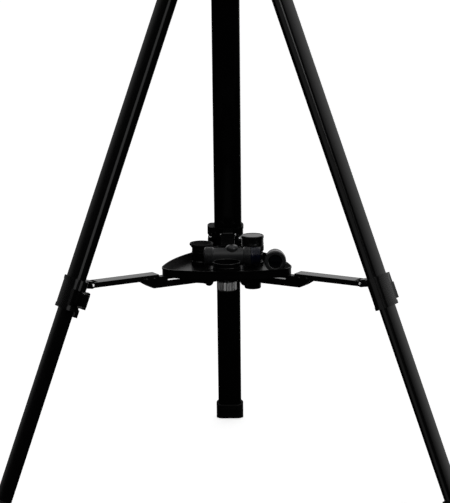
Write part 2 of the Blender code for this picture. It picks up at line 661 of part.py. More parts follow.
def build_legs(root):
    shapes = {
        "leg_bolt": (leg_bolt(), "bright_steel"),
        "leg_knuckle": (leg_knuckle(), "black_plastic"),
        "upper_tube": (tube(UPPER_WIDE, UPPER_THIN, UPPER_TOP, UPPER_END), "black_paint"),
        "collar": (collar(), "black_plastic"),
        "clamp_pin": (clamp_pin(), "bright_steel"),
        "lock_lever": (lock_lever(), "black_plastic"),
        "lower_tube": (tube(LOWER_WIDE, LOWER_THIN, LOWER_TOP, LOWER_END), "black_paint"),
        "foot": (foot(), "rubber"),
        "arm_bar": (arm_bar(), "grey_paint"),
        "arm_channel": (arm_channel(), "black_paint"),
        "arm_rivet": (arm_rivet(), "bright_steel"),
        "hinge_pin": (hinge_pin(), "bright_steel"),
    }
    arm_pieces = ("arm_bar", "arm_channel", "arm_rivet", "hinge_pin")
    finished = {}
    for leg, azimuth in zip(LEG_NAMES, LEG_AZIMUTHS):
        around = empty(f"leg_{leg}_azimuth", root, rotation=(0, 0, azimuth))
        fold = empty(f"leg_{leg}_fold", around, (PIVOT_RADIUS, 0, PIVOT_HEIGHT), (0, -LEG_TILT, 0))
        hinge_at = (HINGE_IN_LEG[0], 0, HINGE_IN_LEG[1])
        hinge = empty(f"arm_{leg}_hinge", fold, hinge_at, (0, LEG_TILT, 0))
        for kind, (shape, look) in shapes.items():
            parent = hinge if kind in arm_pieces else fold
            name = f"{kind}_{leg}"
            if kind in finished:
                copy_of(name, finished[kind], look, parent)
            else:
                finished[kind] = piece(name, shape, look, parent).data


def build_tray(root):
    level = empty("spreader_level", root, (0, 0, HINGE_HEIGHT))
    piece("spreader_hub", spreader_hub(), "black_plastic", level)
    piece("tray", tray_body(), "black_plastic", level)
    piece("tray_knob", tray_knob(), "aluminium", level)
    spots = []
    for azimuth in TRAY_HOLE_AZIMUTHS:
        a = math.radians(azimuth)
        spots.append((TRAY_HOLE_RING * math.cos(a), TRAY_HOLE_RING * math.sin(a), 0))
    right, left, front = spots
    body, cap = capped_eyepiece()
    piece("capped_eyepiece", body, "black_plastic", level, right)
    piece("capped_eyepiece_cap", cap, "black_plastic", level, right)
    piece("wide_eyepiece", wide_eyepiece(), "black_plastic", level, left)
    piece("storage_cup", storage_cup(), "black_plastic", level, front)
    lying = empty("barlow_rest", level, BARLOW_REST)
    piece("barlow_body", barlow_body(), "mid_grey", lying)
    piece("barlow_nose", barlow_nose(), "dark_blue", lying)
    piece("lying_eyepiece", lying_eyepiece(), "black_plastic", level, LYING_EYEPIECE_REST)


def build_head(root):
    crown = empty("crown_level", root, (0, 0, PIVOT_HEIGHT))
    piece("crown", crown_body(), "black_plastic", crown)
    piece("head_clamp_knob", head_clamp_knob(), "black_plastic", crown)
    piece("head_base", head_base(), "black_paint", root)
    piece("pan_body", pan_body(), "black_paint", root)
    piece("bubble_level", bubble_level(), "level_fluid", root, (0, LEVEL_Y, 0))
    pan_knob = turn(side_knob(32, 11.0, 16.0), 180, "Z")
    piece("pan_lock_knob", pan_knob, "black_plastic", root, (-22, 0, PAN_LOCK_HEIGHT))
    piece("tilt_cradle", tilt_cradle(), "black_paint", root)
    piece("quick_plate", quick_plate(), "grey_paint", root)
    piece("camera_screw", camera_screw(), "bright_steel", root)
    lock_at = (RAIL_INNER + 0.5, *PLATE_LOCK)
    piece("plate_lock_knob", side_knob(28, 9.0, 10.0), "black_plastic", root, lock_at)
    tilt = empty("handle_pivot", root, (BOSS_FACE + GAP, 0, TILT_HEIGHT), (HANDLE_DROP, 0, 0))
    piece("handle_clamp", handle_clamp(), "black_plastic", tilt)
    piece("handle_clamp_knob", side_knob(46, 11.0, 31.0), "black_plastic", tilt, (-12, 0, 0))
    piece("handle_tube", handle_tube(), "black_paint", tilt, (HANDLE_OFFSET, 0, 0))
    end_cap = (HANDLE_OFFSET, -HANDLE_LENGTH - 4 - GAP, 0)
    piece("handle_grip", handle_grip(), "rubber", tilt, end_cap)


def centre_footprint(root):
    """Shift the whole object so that its bounding box is centred over the origin."""
    bpy.context.view_layer.update()
    solids = [obj for obj in PARTS.objects if obj.type == "MESH"]
    ys = [(obj.matrix_world @ vertex.co).y for obj in solids for vertex in obj.data.vertices]
    root.location.y -= (min(ys) + max(ys)) / 2
    bpy.context.view_layer.update()


def leg_frame_point(radius, height):
    """A point given by radius and height, in a leg's own frame: x outward, z up along the leg."""
    tilt = math.radians(LEG_TILT)
    out, down = radius - PIVOT_RADIUS, PIVOT_HEIGHT - height
    along = out * math.sin(tilt) + down * math.cos(tilt)
    return out * math.cos(tilt) - down * math.sin(tilt), -along


HINGE_IN_LEG = leg_frame_point(HINGE_RADIUS, HINGE_HEIGHT)

clear_scene()
PARTS = collection("tripod with fluid head")
CUTTERS = collection("cutters")
ROOT = empty("tripod_axis")
build_legs(ROOT)
build_tray(ROOT)
build_head(ROOT)
centre_footprint(ROOT)
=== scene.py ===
import json
import math

import bmesh
import bpy
from mathutils import Matrix, Vector

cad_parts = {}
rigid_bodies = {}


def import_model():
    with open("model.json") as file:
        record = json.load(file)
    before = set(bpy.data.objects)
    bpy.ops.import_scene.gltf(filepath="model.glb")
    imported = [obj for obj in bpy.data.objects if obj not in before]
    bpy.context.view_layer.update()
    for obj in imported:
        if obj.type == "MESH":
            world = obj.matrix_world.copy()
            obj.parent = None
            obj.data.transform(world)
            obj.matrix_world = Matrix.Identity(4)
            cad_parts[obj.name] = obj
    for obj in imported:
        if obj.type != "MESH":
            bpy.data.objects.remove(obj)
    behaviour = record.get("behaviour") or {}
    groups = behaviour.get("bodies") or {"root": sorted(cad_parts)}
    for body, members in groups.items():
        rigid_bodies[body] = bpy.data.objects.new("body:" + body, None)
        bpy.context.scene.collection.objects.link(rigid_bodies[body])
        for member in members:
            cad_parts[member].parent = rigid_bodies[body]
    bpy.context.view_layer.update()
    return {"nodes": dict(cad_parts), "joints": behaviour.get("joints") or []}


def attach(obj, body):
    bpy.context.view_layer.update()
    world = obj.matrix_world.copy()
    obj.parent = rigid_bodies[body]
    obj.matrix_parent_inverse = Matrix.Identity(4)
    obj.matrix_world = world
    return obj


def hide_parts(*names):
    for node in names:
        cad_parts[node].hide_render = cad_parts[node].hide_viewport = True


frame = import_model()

# Shapes are drawn in millimetres in the frame of the body they belong to, and MM scales them to metres.
MM = 0.001
FINE = 96  # sides of a round piece
PIN = 32  # sides of a pin or a small hole
OVAL = 24  # steps of a tube's half-round edge
FACE = 16  # steps across a tube's broad face
FLUTE = 8  # sides across one fine flute
GAP = 0.3  # between neighbouring pieces
MERGE = 0.002  # points nearer than this are one
SMOOTH = math.radians(34.0)  # flatter edges are shaded smooth
BOLT_HOLE, SCREW_HOLE, HINGE_PIN_HOLE, PIVOT_HOLE, RIVET_HOLE = 5.6, 4.6, 2.8, 2.3, 1.8  # radii

JOINTS = {joint["name"]: joint for joint in frame["joints"]}
SCENE = bpy.context.scene
PIECES = bpy.data.collections.new("tripod pieces")
WORK = bpy.data.collections.new("work")
SCENE.collection.children.link(PIECES)
SCENE.collection.children.link(WORK)


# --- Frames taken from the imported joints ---
def frame_from(origin, x_axis, y_axis, z_axis):
    matrix = Matrix((x_axis, y_axis, z_axis)).transposed().to_4x4()
    matrix.translation = Vector(origin)
    return matrix


def leg_frame(leg):
    """Origin at the leg's pivot, x out of the broad face, y along the pivot, z up the leg."""
    y = Vector(JOINTS[f"leg_{leg}_fold"]["axis"]).normalized()
    z = -Vector(JOINTS[f"lower_leg_{leg}_slide"]["axis"]).normalized()
    return frame_from(JOINTS[f"leg_{leg}_fold"]["pos_m"], y.cross(z), y, z)


def arm_frame(leg):
    """Origin at the collar's hinge, x level and outward, z up."""
    y = Vector(JOINTS[f"arm_{leg}_fold"]["axis"]).normalized()
    up = Vector((0, 0, 1))
    return frame_from(JOINTS[f"arm_{leg}_fold"]["pos_m"], y.cross(up), y, up)


def around(leg):
    """Turn about the tripod's axis from +X to the leg."""
    y = Vector(JOINTS[f"leg_{leg}_fold"]["axis"])
    return math.degrees(math.atan2(-y.x, y.y))


AXIS = Vector(JOINTS["head_pan"]["pos_m"])
AXIS.z = 0.0
PIVOT_HEIGHT = JOINTS["leg_a_fold"]["pos_m"][2]
HINGE = Vector(JOINTS["arm_a_fold"]["pos_m"])
LEVEL = Matrix.Translation((AXIS.x, AXIS.y, HINGE.z))
STAND = Matrix.Translation(AXIS)
CROWN = Matrix.Translation((AXIS.x, AXIS.y, PIVOT_HEIGHT))
HANDLE_DROP = math.radians(20.0)  # below level
HANDLE = Matrix.Translation(JOINTS["handle_angle"]["pos_m"]) @ Matrix.Rotation(HANDLE_DROP, 4, "X")
HINGE_RADIUS = Vector((HINGE.x - AXIS.x, HINGE.y - AXIS.y)).length / MM
HINGE_IN_LEG = leg_frame("a").inverted() @ HINGE / MM
LEGS = ("a", "b", "c")


def shifted(place, x, y, z=0.0):
    """The same frame with its origin moved by millimetres."""
    return place @ Matrix.Translation(Vector((x, y, z)) * MM)


# --- Shape helpers ---
def blank(mesh):
    obj = bpy.data.objects.new("blank", mesh)
    WORK.objects.link(obj)
    return obj


def mesh_from(bm):
    mesh = bpy.data.meshes.new("shape")
    bmesh.ops.recalc_face_normals(bm, faces=bm.faces)
    bm.to_mesh(mesh)
    bm.free()
    return blank(mesh)


def bake(obj):
    """The evaluated shape as a plain closed mesh."""
    depsgraph = bpy.context.evaluated_depsgraph_get()
    mesh = bpy.data.meshes.new_from_object(obj.evaluated_get(depsgraph))
    bm = bmesh.new()
    bm.from_mesh(mesh)
    bmesh.ops.remove_doubles(bm, verts=bm.verts, dist=MERGE * MM)
    bpy.data.objects.remove(obj, do_unlink=True)
    return mesh_from(bm)


def move(obj, x=0.0, y=0.0, z=0.0):
    obj.data.transform(Matrix.Translation(Vector((x, y, z)) * MM))
    return obj


def turn(obj, degrees, axis):
    obj.data.transform(Matrix.Rotation(math.radians(degrees), 4, axis))
    return obj


def combine(obj, others, operation):
    for other in others:
        step = obj.modifiers.new(operation.title(), "BOOLEAN")
        step.operation = operation
        step.solver = "EXACT"
        step.object = other
    made = bake(obj)
    for other in others:
        bpy.data.objects.remove(other, do_unlink=True)
    return made


def join(obj, *others):
    return combine(obj, others, "UNION")


def cut(obj, *others):
    return combine(obj, others, "DIFFERENCE")


def keep_inside(obj, *others):
    return combine(obj, others, "INTERSECT")


def gather(*shapes):
    """Several separate solids as one mesh."""
    bm = bmesh.new()
    for shape in shapes:
        bm.from_mesh(shape.data)
        bpy.data.objects.remove(shape, do_unlink=True)
    return mesh_from(bm)


def bevel(obj, width, segments=2, angle=38.0):
    """Rounds the edges that are sharper than the angle."""
    step = obj.modifiers.new("Bevel", "BEVEL")
    step.width = width * MM
    step.segments = segments
    step.limit_method = "ANGLE"
    step.angle_limit = math.radians(angle)
    step.use_clamp_overlap = True
    return bake(obj)


def box(low, high, edge=0.0):
    bm = bmesh.new()
    bmesh.ops.create_cube(bm, size=1.0)
    size = [(b - a) * MM for a, b in zip(low, high)]
    centre = [(b + a) * MM / 2 for a, b in zip(low, high)]
    place = Matrix.Translation(centre) @ Matrix.Diagonal((*size, 1.0))
    bmesh.ops.transform(bm, matrix=place, verts=bm.verts)
    made = mesh_from(bm)
    return bevel(made, edge, 3) if edge else made


def soften(points, radius, closed):
    """The same run of points with its corners rounded off."""
    steps = 3
    made = []
    last = len(points) - 1
    for k, here in enumerate(points):
        if not closed and k in (0, last):
            made.append(tuple(here))
            continue
        before, after = Vector(points[k - 1]), Vector(points[(k + 1) % len(points)])
        here = Vector(here)
        back, on = before - here, after - here
        reach = min(radius, 0.45 * back.length, 0.45 * on.length)
        if reach < 1e-6 or back.angle(on, math.pi) > math.radians(172):
            made.append(tuple(here))
            continue
        start, end = here + back.normalized() * reach, here + on.normalized() * reach
        for j in range(steps + 1):
            t = j / steps
            made.append(tuple(start * (1 - t) ** 2 + here * 2 * t * (1 - t) + end * t * t))
    return made


def deepen(points):
    """The same points with a flute depth of zero where they give none."""
    return [tuple(p) + (0.0,) * (3 - len(p)) for p in points]


def lathe(profile, sides=FINE, edge=0.0, flutes=0):
    """A turned shape.  Points are (radius, height) or (radius, height, depth of flute), run down the
    outer side.  A profile that never reaches the axis closes on itself and leaves a bore."""
    points = deepen(profile)
    bored = min(p[0] for p in points) > 0
    if edge:
        points = soften(points, edge, closed=bored)
    bm = bmesh.new()
    rings = []
    for radius, height, depth in points:
        if radius < 1e-6:
            rings.append([bm.verts.new((0, 0, height * MM))])
            continue
        ring = []
        for k in range(sides):
            angle = 2 * math.pi * k / sides
            r = radius - depth * (0.5 - 0.5 * math.cos(flutes * angle)) ** 1.5
            ring.append(bm.verts.new((r * MM * math.cos(angle), r * MM * math.sin(angle), height * MM)))
        rings.append(ring)
    pairs = list(zip(rings, rings[1:])) + ([(rings[-1], rings[0])] if bored else [])
    for upper, lower in pairs:
        for k in range(sides):
            n = (k + 1) % sides
            corners = [upper[k % len(upper)], upper[n % len(upper)]]
            corners += [lower[n % len(lower)], lower[k % len(lower)]]
            corners = list(dict.fromkeys(corners))
            if len(corners) > 2:
                bm.faces.new(corners)
    return mesh_from(bm)


def rod(radius, low, high, sides=FINE, edge=0.0):
    return lathe([(0, high), (radius, high), (radius, low), (0, low)], sides, edge)


def cross_rod(radius, half_length, x=0.0, z=0.0):
    """A round bar along Y through (x, z)."""
    return move(turn(rod(radius, -half_length, half_length, PIN), 90, "X"), x=x, z=z)


def side_rod(radius, low, high, y=0.0, z=0.0, sides=FINE, edge=0.0):
    """A round bar along X through (y, z)."""
    return move(turn(rod(radius, low, high, sides, edge), 90, "Y"), y=y, z=z)


def both_ends(profile):
    """A profile's upper half followed by its mirror image."""
    return profile + [(radius, -height) for radius, height in reversed(profile)]


def outline(points, thickness, *holes):
    """A flat plate of the given outline and holes, centred on z = 0."""
    curve = bpy.data.curves.new("outline", "CURVE")
    curve.dimensions = "2D"
    curve.fill_mode = "BOTH"
    curve.extrude = thickness * MM / 2
    for loop in (points, *holes):
        spline = curve.splines.new("POLY")
        spline.points.add(len(loop) - 1)
        for point, (x, y) in zip(spline.points, loop):
            point.co = (x * MM, y * MM, 0, 1)
        spline.use_cyclic_u = True
    return bake(blank(curve))


def arc(cx, cy, radius, start, end, steps):
    angles = [math.radians(start + (end - start) * k / steps) for k in range(steps + 1)]
    return [(cx + radius * math.cos(a), cy + radius * math.sin(a)) for a in angles]


def flat_oval(wide, thin, crown=0.0):
    """Outline of a tube, wide along Y: round edges, and broad faces that fall away by the crown."""
    straight = (wide - thin) / 2
    for _ in range(4):  # the slope at the faces' ends and the edges' radius settle together
        lean = math.atan(2 * crown / straight)
        radius = (thin / 2 - crown) / math.cos(lean)
        straight = wide / 2 - radius * (1 - math.sin(lean))
    lean = math.degrees(lean)
    centre = wide / 2 - radius
    top = arc(0, centre, radius, lean, 180 - lean, OVAL)
    bottom = arc(0, -centre, radius, 180 + lean, 360 - lean, OVAL)
    if not crown:
        return top + bottom
    across = [straight * (1 - 2 * k / FACE) for k in range(1, FACE)]
    left = [(-(thin / 2 - crown * (y / straight) ** 2), y) for y in across]
    right = [(-x, -y) for x, y in left]
    return top + left + bottom + right


def oval_bar(wide, thin, top, end, crown=0.0):
    """A flat-oval bar along the leg, from distance top to distance end below the pivot."""
    return move(outline(flat_oval(wide, thin, crown), end - top), z=-(top + end) / 2)


def side_plate(points, thickness, y=0.0):
    """A plate whose outline is drawn in X and Z and whose thickness runs along Y."""
    return move(turn(outline(points, thickness), 90, "X"), y=y)


def knurled(profile, edge, flutes, closed=False, steps=FLUTE):
    """A turned shape with scooped flutes wherever its points carry a depth."""
    return lathe(soften(deepen(profile), edge, closed), flutes * steps, flutes=flutes)


def fluted(radius, depth, flutes, low, high, chamfer):
    """A round grip with scooped flutes that run out in a chamfer at both ends."""
    profile = [(0, high), (radius - depth - chamfer, high), (radius, high - chamfer - depth, depth)]
    profile += [(radius, low + chamfer + depth, depth), (radius - depth - chamfer, low), (0, low)]
    return knurled(profile, 0.6, flutes, steps=12)


def ribs_on(radius, height, low, high, count):
    """Profile points for count rounded rings between two heights, from the top down."""
    pitch = (high - low) / count
    points = []
    for k in range(count):
        top = high - k * pitch
        points += [(radius - height, top), (radius, top - 0.25 * pitch), (radius, top - 0.6 * pitch)]
        points += [(radius - height, top - 0.85 * pitch)]
    return points


# --- Finishes ---
def add(tree, kind, **settings):
    node = tree.nodes.new(kind)
    for name, value in settings.items():
        if hasattr(node, name):
            setattr(node, name, value)
        else:
            node.inputs[name.replace("_", " ")].default_value = value
    return node


def remap(tree, source, start, end, low=0.0, high=1.0, **settings):
    """A socket whose value runs from low to high as the source runs from start to end."""
    node = add(tree, "ShaderNodeMapRange", **settings)
    for socket, value in (("From Min", start), ("From Max", end), ("To Min", low), ("To Max", high)):
        node.inputs[socket].default_value = value
    tree.links.new(source, node.inputs["Value"])
    return node.outputs["Result"]


def finish(name, low, high, rough, grain, bump, metallic=0.0, specular=0.5, coat=0.0, coat_roughness=0.1,
           sheen=0.0):
    """A Principled finish whose colour runs between two tones, whose roughness drifts, and whose surface
    has a grain of the given size and depth in millimetres."""
    made = bpy.data.materials.new(name)
    made.use_nodes = True
    tree = made.node_tree
    shader = tree.nodes["Principled BSDF"]
    link = tree.links.new
    coordinates = add(tree, "ShaderNodeTexCoord")
    broad = add(tree, "ShaderNodeTexNoise", Scale=38.0, Detail=4.0, Roughness=0.6)
    fine = add(tree, "ShaderNodeTexNoise", Scale=1.0 / (grain * MM), Detail=3.0, Roughness=0.55)
    link(coordinates.outputs["Object"], broad.inputs["Vector"])
    link(coordinates.outputs["Object"], fine.inputs["Vector"])
    colour = add(tree, "ShaderNodeMix", data_type="RGBA")
    colour.inputs[6].default_value = (*low, 1)
    colour.inputs[7].default_value = (*high, 1)
    link(remap(tree, broad.outputs["Fac"], 0.35, 0.65), colour.inputs["Factor"])
    link(colour.outputs[2], shader.inputs["Base Color"])
    link(remap(tree, fine.outputs["Fac"], 0.3, 0.7, *rough), shader.inputs["Roughness"])
    relief = add(tree, "ShaderNodeBump", Strength=0.6, Distance=bump * MM)
    link(fine.outputs["Fac"], relief.inputs["Height"])
    link(relief.outputs["Normal"], shader.inputs["Normal"])
    shader.inputs["Metallic"].default_value = metallic
    shader.inputs["Specular IOR Level"].default_value = specular
    shader.inputs["Coat Weight"].default_value = coat
    shader.inputs["Coat Roughness"].default_value = coat_roughness
    shader.inputs["Sheen Weight"].default_value = sheen
    return made


def grey(value, tint=(1.0, 1.0, 1.0)):
    return tuple(value * t for t in tint)


COOL = (0.98, 1.0, 1.05)
LOOKS = {
    "leg_paint": finish("satin_black_paint", grey(0.0018), grey(0.003), (0.16, 0.22), 1.1, 0.0025),
    "arm_paint": finish("black_arm_paint", grey(0.004), grey(0.007), (0.14, 0.22), 0.9, 0.003, specular=0.6),
    "black_plastic": finish("moulded_black_plastic", grey(0.0025), grey(0.0045), (0.2, 0.3), 0.5, 0.006),
    "tray_plastic": finish("tray_black_plastic", grey(0.002), grey(0.0035), (0.26, 0.36), 0.5, 0.005,
                           specular=0.3),
    "anodised": finish("black_anodised", grey(0.003), grey(0.006), (0.16, 0.24), 0.3, 0.003, specular=0.6),
    "head_paint": finish("fine_black_paint", grey(0.004), grey(0.007), (0.2, 0.32), 0.6, 0.006),
    "grey_plate": finish("dark_grey_anodised", grey(0.03, COOL), grey(0.04, COOL), (0.28, 0.38), 0.3, 0.006,
                         metallic=0.3),
    "bright_steel": finish("polished_steel", grey(0.8), grey(0.9), (0.1, 0.2), 0.5, 0.003, metallic=1.0),
    "dark_steel": finish("blackened_steel", grey(0.02), grey(0.035), (0.22, 0.34), 0.5, 0.004, metallic=0.6),
    "aluminium": finish("turned_aluminium", grey(0.62), grey(0.75), (0.3, 0.42), 0.35, 0.006, metallic=1.0),
    "rubber": finish("black_rubber", grey(0.005), grey(0.009), (0.6, 0.75), 0.8, 0.03, specular=0.35,
                     sheen=0.03),
    "mid_grey": finish("grey_enamel", grey(0.028, COOL), grey(0.038, COOL), (0.26, 0.36), 0.8, 0.006,
                       coat=0.1),
    "dark_blue": finish("blue_anodised", (0.002, 0.0035, 0.016), (0.003, 0.005, 0.022), (0.22, 0.32), 0.4,
                        0.005),
    "glass": finish("coated_lens", (0.001, 0.002, 0.004), (0.002, 0.003, 0.006), (0.02, 0.05), 4.0, 0.0005,
                    specular=0.9, coat=0.5, coat_roughness=0.03),
    "level_fluid": finish("level_fluid", (0.35, 0.55, 0.12), (0.45, 0.66, 0.18), (0.04, 0.09), 2.0, 0.001,
                          coat=1.0, coat_roughness=0.02),
    "marking": finish("white_marking", grey(0.5), grey(0.6), (0.4, 0.5), 0.5, 0.004),
}


def show(name, shape, look, body, matrix=STAND):
    """Put a copy of a working solid in place as a piece riding on a body.  A piece called after a CAD
    node stands for it."""
    mesh = shape.data.copy()
    mesh.name = name
    mesh.transform(matrix)
    mesh.materials.clear()
    mesh.materials.append(LOOKS[look])
    mesh.shade_smooth()
    mesh.set_sharp_from_angle(angle=SMOOTH)
    obj = bpy.data.objects.new(name, mesh)
    PIECES.objects.link(obj)
    weighted = obj.modifiers.new("Weighted normals", "WEIGHTED_NORMAL")
    weighted.keep_sharp = True
    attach(obj, body)
    node = name.removesuffix("_visual")
    if node in frame["nodes"]:
        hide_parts(node)


# --- Legs ---
UPPER_WIDE, UPPER_THIN, TUBE_WALL = 54.0, 22.0, 1.5
CROWN_OF_FACE = 1.0  # how far the broad faces fall away towards their edges
LOWER_WIDE, LOWER_THIN = 46.7, 17.6
UPPER_TOP, UPPER_END = 26.3, 738.0
LOWER_TOP, LOWER_END = 480.0, 1135.0
COLLAR_TOP, COLLAR_END, COLLAR_WALL = 680.5, 740.5, 3.9
LEVER_X, LEVER_Y = -14.0, 34.5
LEVER_TOP, LEVER_END = 703.0, 727.0
LEG_COSINE = (leg_frame("a").to_3x3() @ Vector((0, 0, 1))).z
SOLE = (PIVOT_HEIGHT / MM) / LEG_COSINE  # pivot to floor along the leg
TILT = math.degrees(math.acos(LEG_COSINE))


def tube(wide, thin, top, end):
    inside = flat_oval(wide - 2 * TUBE_WALL, thin - 2 * TUBE_WALL, CROWN_OF_FACE)
    shape = move(outline(flat_oval(wide, thin, CROWN_OF_FACE), end - top, inside), z=-(top + end) / 2)
    return bevel(shape, 0.35, 2, 60)


def leg_knuckle():
    """Moulded top of the leg: an eye between the crown's lugs, a shoulder and a plug in the tube."""
    eye = side_plate([(11, -24)] + arc(0, 0, 11.0, 0, 180, 32) + [(-11, -24)], 42.0)
    shoulder = oval_bar(UPPER_WIDE, UPPER_THIN, 20.0, 26.0)
    plug = oval_bar(UPPER_WIDE - 3.6, UPPER_THIN - 3.6, 24.0, 62.0)
    flanks = [box((-8, y, -21), (8, y + 6, -8)) for y in (-26, 20)]
    body = cut(join(eye, shoulder, plug), *flanks)
    recesses = [box((-14, y - 5, -20), (-6, y + 5, -13)) for y in (-10, 10)]
    return bevel(cut(body, cross_rod(BOLT_HOLE, 40), *recesses), 0.6)


def leg_bolt():
    """Plain shank with a domed hexagon and a washer at each end."""
    washer = [(0, 31.2), (8.4, 31.2), (8.4, 29.9), (0, 29.9)]
    parts = []
    for side in (-1, 1):
        disc = turn(lathe(washer, PIN, 0.3), 90, "X")
        head = turn(rod(7.4, 31.0, 35.4, 6), 90, "X")
        dome = [(0, 36.0), (3.2, 35.9), (6.2, 35.0), (7.6, 33.6), (7.6, 31.0), (0, 31.0)]
        both = join(disc, keep_inside(head, turn(lathe(dome, PIN), 90, "X")))
        parts.append(both if side < 0 else turn(both, 180, "Z"))
    return bevel(join(cross_rod(5.0, 30.5), *parts), 0.3)


def lever_bore():
    return move(rod(PIVOT_HOLE, -740, -695, PIN), x=LEVER_X, y=LEVER_Y)


def collar():
    """Casting round the upper tube's foot: two rims, hinge lug, clamp nose and pad, and lever ears."""
    wide, thin = UPPER_WIDE + 2 * COLLAR_WALL, UPPER_THIN + 2 * COLLAR_WALL
    body = oval_bar(wide - 1.6, thin - 1.6, COLLAR_TOP, COLLAR_END, CROWN_OF_FACE)
    rims = [oval_bar(wide, thin, top, top + 6.9, CROWN_OF_FACE)
            for top in (COLLAR_TOP + 0.1, COLLAR_END - 7.0)]
    hx, hz = HINGE_IN_LEG.x, HINGE_IN_LEG.z
    lug = side_plate([(-13, hz + 3.5)] + arc(hx, hz, 7.0, 90, 270, 24) + [(-13, hz - 11)], 20.0)
    nose = outline([(-9, 20)] + arc(0, 31.5, 9.0, 180, 0, 40) + [(9, 20)], 19.0)
    pad = box((4, 20, -731), (13, 30.5, -700))
    sleeve = move(outline([(-14, 17), (-3, 17), (-3, 24), (-5, 28), (-12, 28), (-14, 25)], 15.0), z=-742.5)
    ears = []
    for top in (LEVER_END + GAP, LEVER_TOP - 4.0):
        points = [(-13.5, 16)] + arc(LEVER_X, LEVER_Y, 5.0, 180, 20, 24) + [(-1, 25)]
        ears.append(move(outline(points, 3.7), z=-(top + 1.85)))
    body = join(body, *rims, lug, move(nose, z=-690.5), pad, sleeve, *ears)
    socket = oval_bar(UPPER_WIDE + 2 * GAP, UPPER_THIN + 2 * GAP, COLLAR_TOP - 5, UPPER_END + GAP,
                      CROWN_OF_FACE)
    throat = oval_bar(LOWER_WIDE + 0.8, LOWER_THIN + 0.8, COLLAR_TOP - 5, COLLAR_END + 15, CROWN_OF_FACE)
    return bevel(cut(body, socket, throat, cross_rod(HINGE_PIN_HOLE, 20, hx, hz), lever_bore()), 0.55)


def clamp_nut():
    """Bright domed nut on the collar's inner face, on the edge away from the lever."""
    flat = lathe([(0, 15.6), (4.6, 15.6), (4.6, 14.4), (0, 14.4)], PIN, 0.3)
    dome = [(0, 20.4), (1.5, 20.2), (2.9, 19.3), (3.8, 17.9), (4.1, 16.2), (4.1, 15.0), (0, 15.0)]
    return move(turn(join(flat, lathe(dome, PIN, 0.2)), -90, "Y"), y=-22.5, z=-703)


def lock_lever():
    """Flip lever: a barrel on the clamp pin and a paddle with three finger ribs."""
    half, middle = (LEVER_END - LEVER_TOP) / 2, -(LEVER_TOP + LEVER_END) / 2
    barrel = move(rod(5.4, -half, half), x=LEVER_X, y=LEVER_Y, z=middle)
    points = [(LEVER_X, LEVER_Y + 3), (-4, LEVER_Y + 2.2)] + arc(5, LEVER_Y - 0.5, 2.5, 90, -90, 16)
    paddle = move(outline(points + [(LEVER_X, LEVER_Y - 3)], 2 * half), z=middle)
    body = bevel(cut(join(barrel, paddle), lever_bore()), 0.6)
    low, high = middle - half + 1.5, middle + half - 1.5
    ribs = [box((x, LEVER_Y, low), (x + 2.2, LEVER_Y + 4.4, high), 0.6) for x in (-5.0, -0.5, 4.0)]
    return join(body, *ribs)


def clamp_pin():
    top, end = -(LEVER_TOP - 4.0), -(LEVER_END + 4)
    profile = [(0, top + 1.1), (1.8, top + 1.1), (3, top + 0.4), (3, top), (2, top), (2, end), (0, end)]
    return move(lathe(profile, PIN, 0.25), x=LEVER_X, y=LEVER_Y)


def foot():
    """Rubber shoe with moulded ridges, its sole level with the floor and cut with grip grooves."""
    top, end = LOWER_END - 22, SOLE + 14
    shoe = oval_bar(54.6, 25.6, top, end)
    socket = oval_bar(LOWER_WIDE + 2 * GAP, LOWER_THIN + 2 * GAP, LOWER_END - 30, LOWER_END + GAP)
    floor = move(turn(box((-90, -90, -90), (90, 90, 0)), TILT, "Y"), z=-SOLE + 0.15)
    body = cut(shoe, socket, floor)
    grooves = []
    for k in range(3):
        ring = outline(flat_oval(70, 41), 1.6, flat_oval(52.4, 23.4))
        grooves.append(move(ring, z=-(top + 6.0 + 5.5 * k)))
    for x in (-22, -10, 2, 14):
        tread = turn(box((x, -40, -1.6), (x + 2.5, 40, 1.4)), TILT, "Y")
        grooves.append(move(tread, z=-SOLE))
    return bevel(cut(body, *grooves), 0.5)


# --- Spreader arms ---
HUB_PIVOT_RADIUS, HUB_PIVOT_DROP = 42.0, 18.0
BAR_INNER_RADIUS = 153.0
RIVET_RADII, RIVET_DROP = (164.0, 180.0), 2.2
BAR_WIDE, BAR_INSIDE = 26.0, 11.5  # full width, and half the width of its hollow
CHANNEL_WIDE, CHANNEL_INSIDE = 31.0, 13.4


def rivet_holes():
    return [cross_rod(RIVET_HOLE, 30, radius - HINGE_RADIUS, -RIVET_DROP) for radius in RIVET_RADII]


def arm_bar():
    """Outer half of a spreader arm: a hollow bar, open at the collar's hinge."""
    inner = BAR_INNER_RADIUS - HINGE_RADIUS
    side = [(inner, -5)] + arc(0, 0, 5, -90, 90, 24) + [(inner, 5)]
    body = bevel(side_plate(side, BAR_WIDE), 1.0, 3)
    hollow = box((inner - 5, -BAR_INSIDE, -10), (10, BAR_INSIDE, 3.5))
    mouth = box((-12, -BAR_INSIDE, -10), (10, BAR_INSIDE, 10))
    return bevel(cut(body, hollow, mouth, cross_rod(HINGE_PIN_HOLE, 30), *rivet_holes()), 0.3)


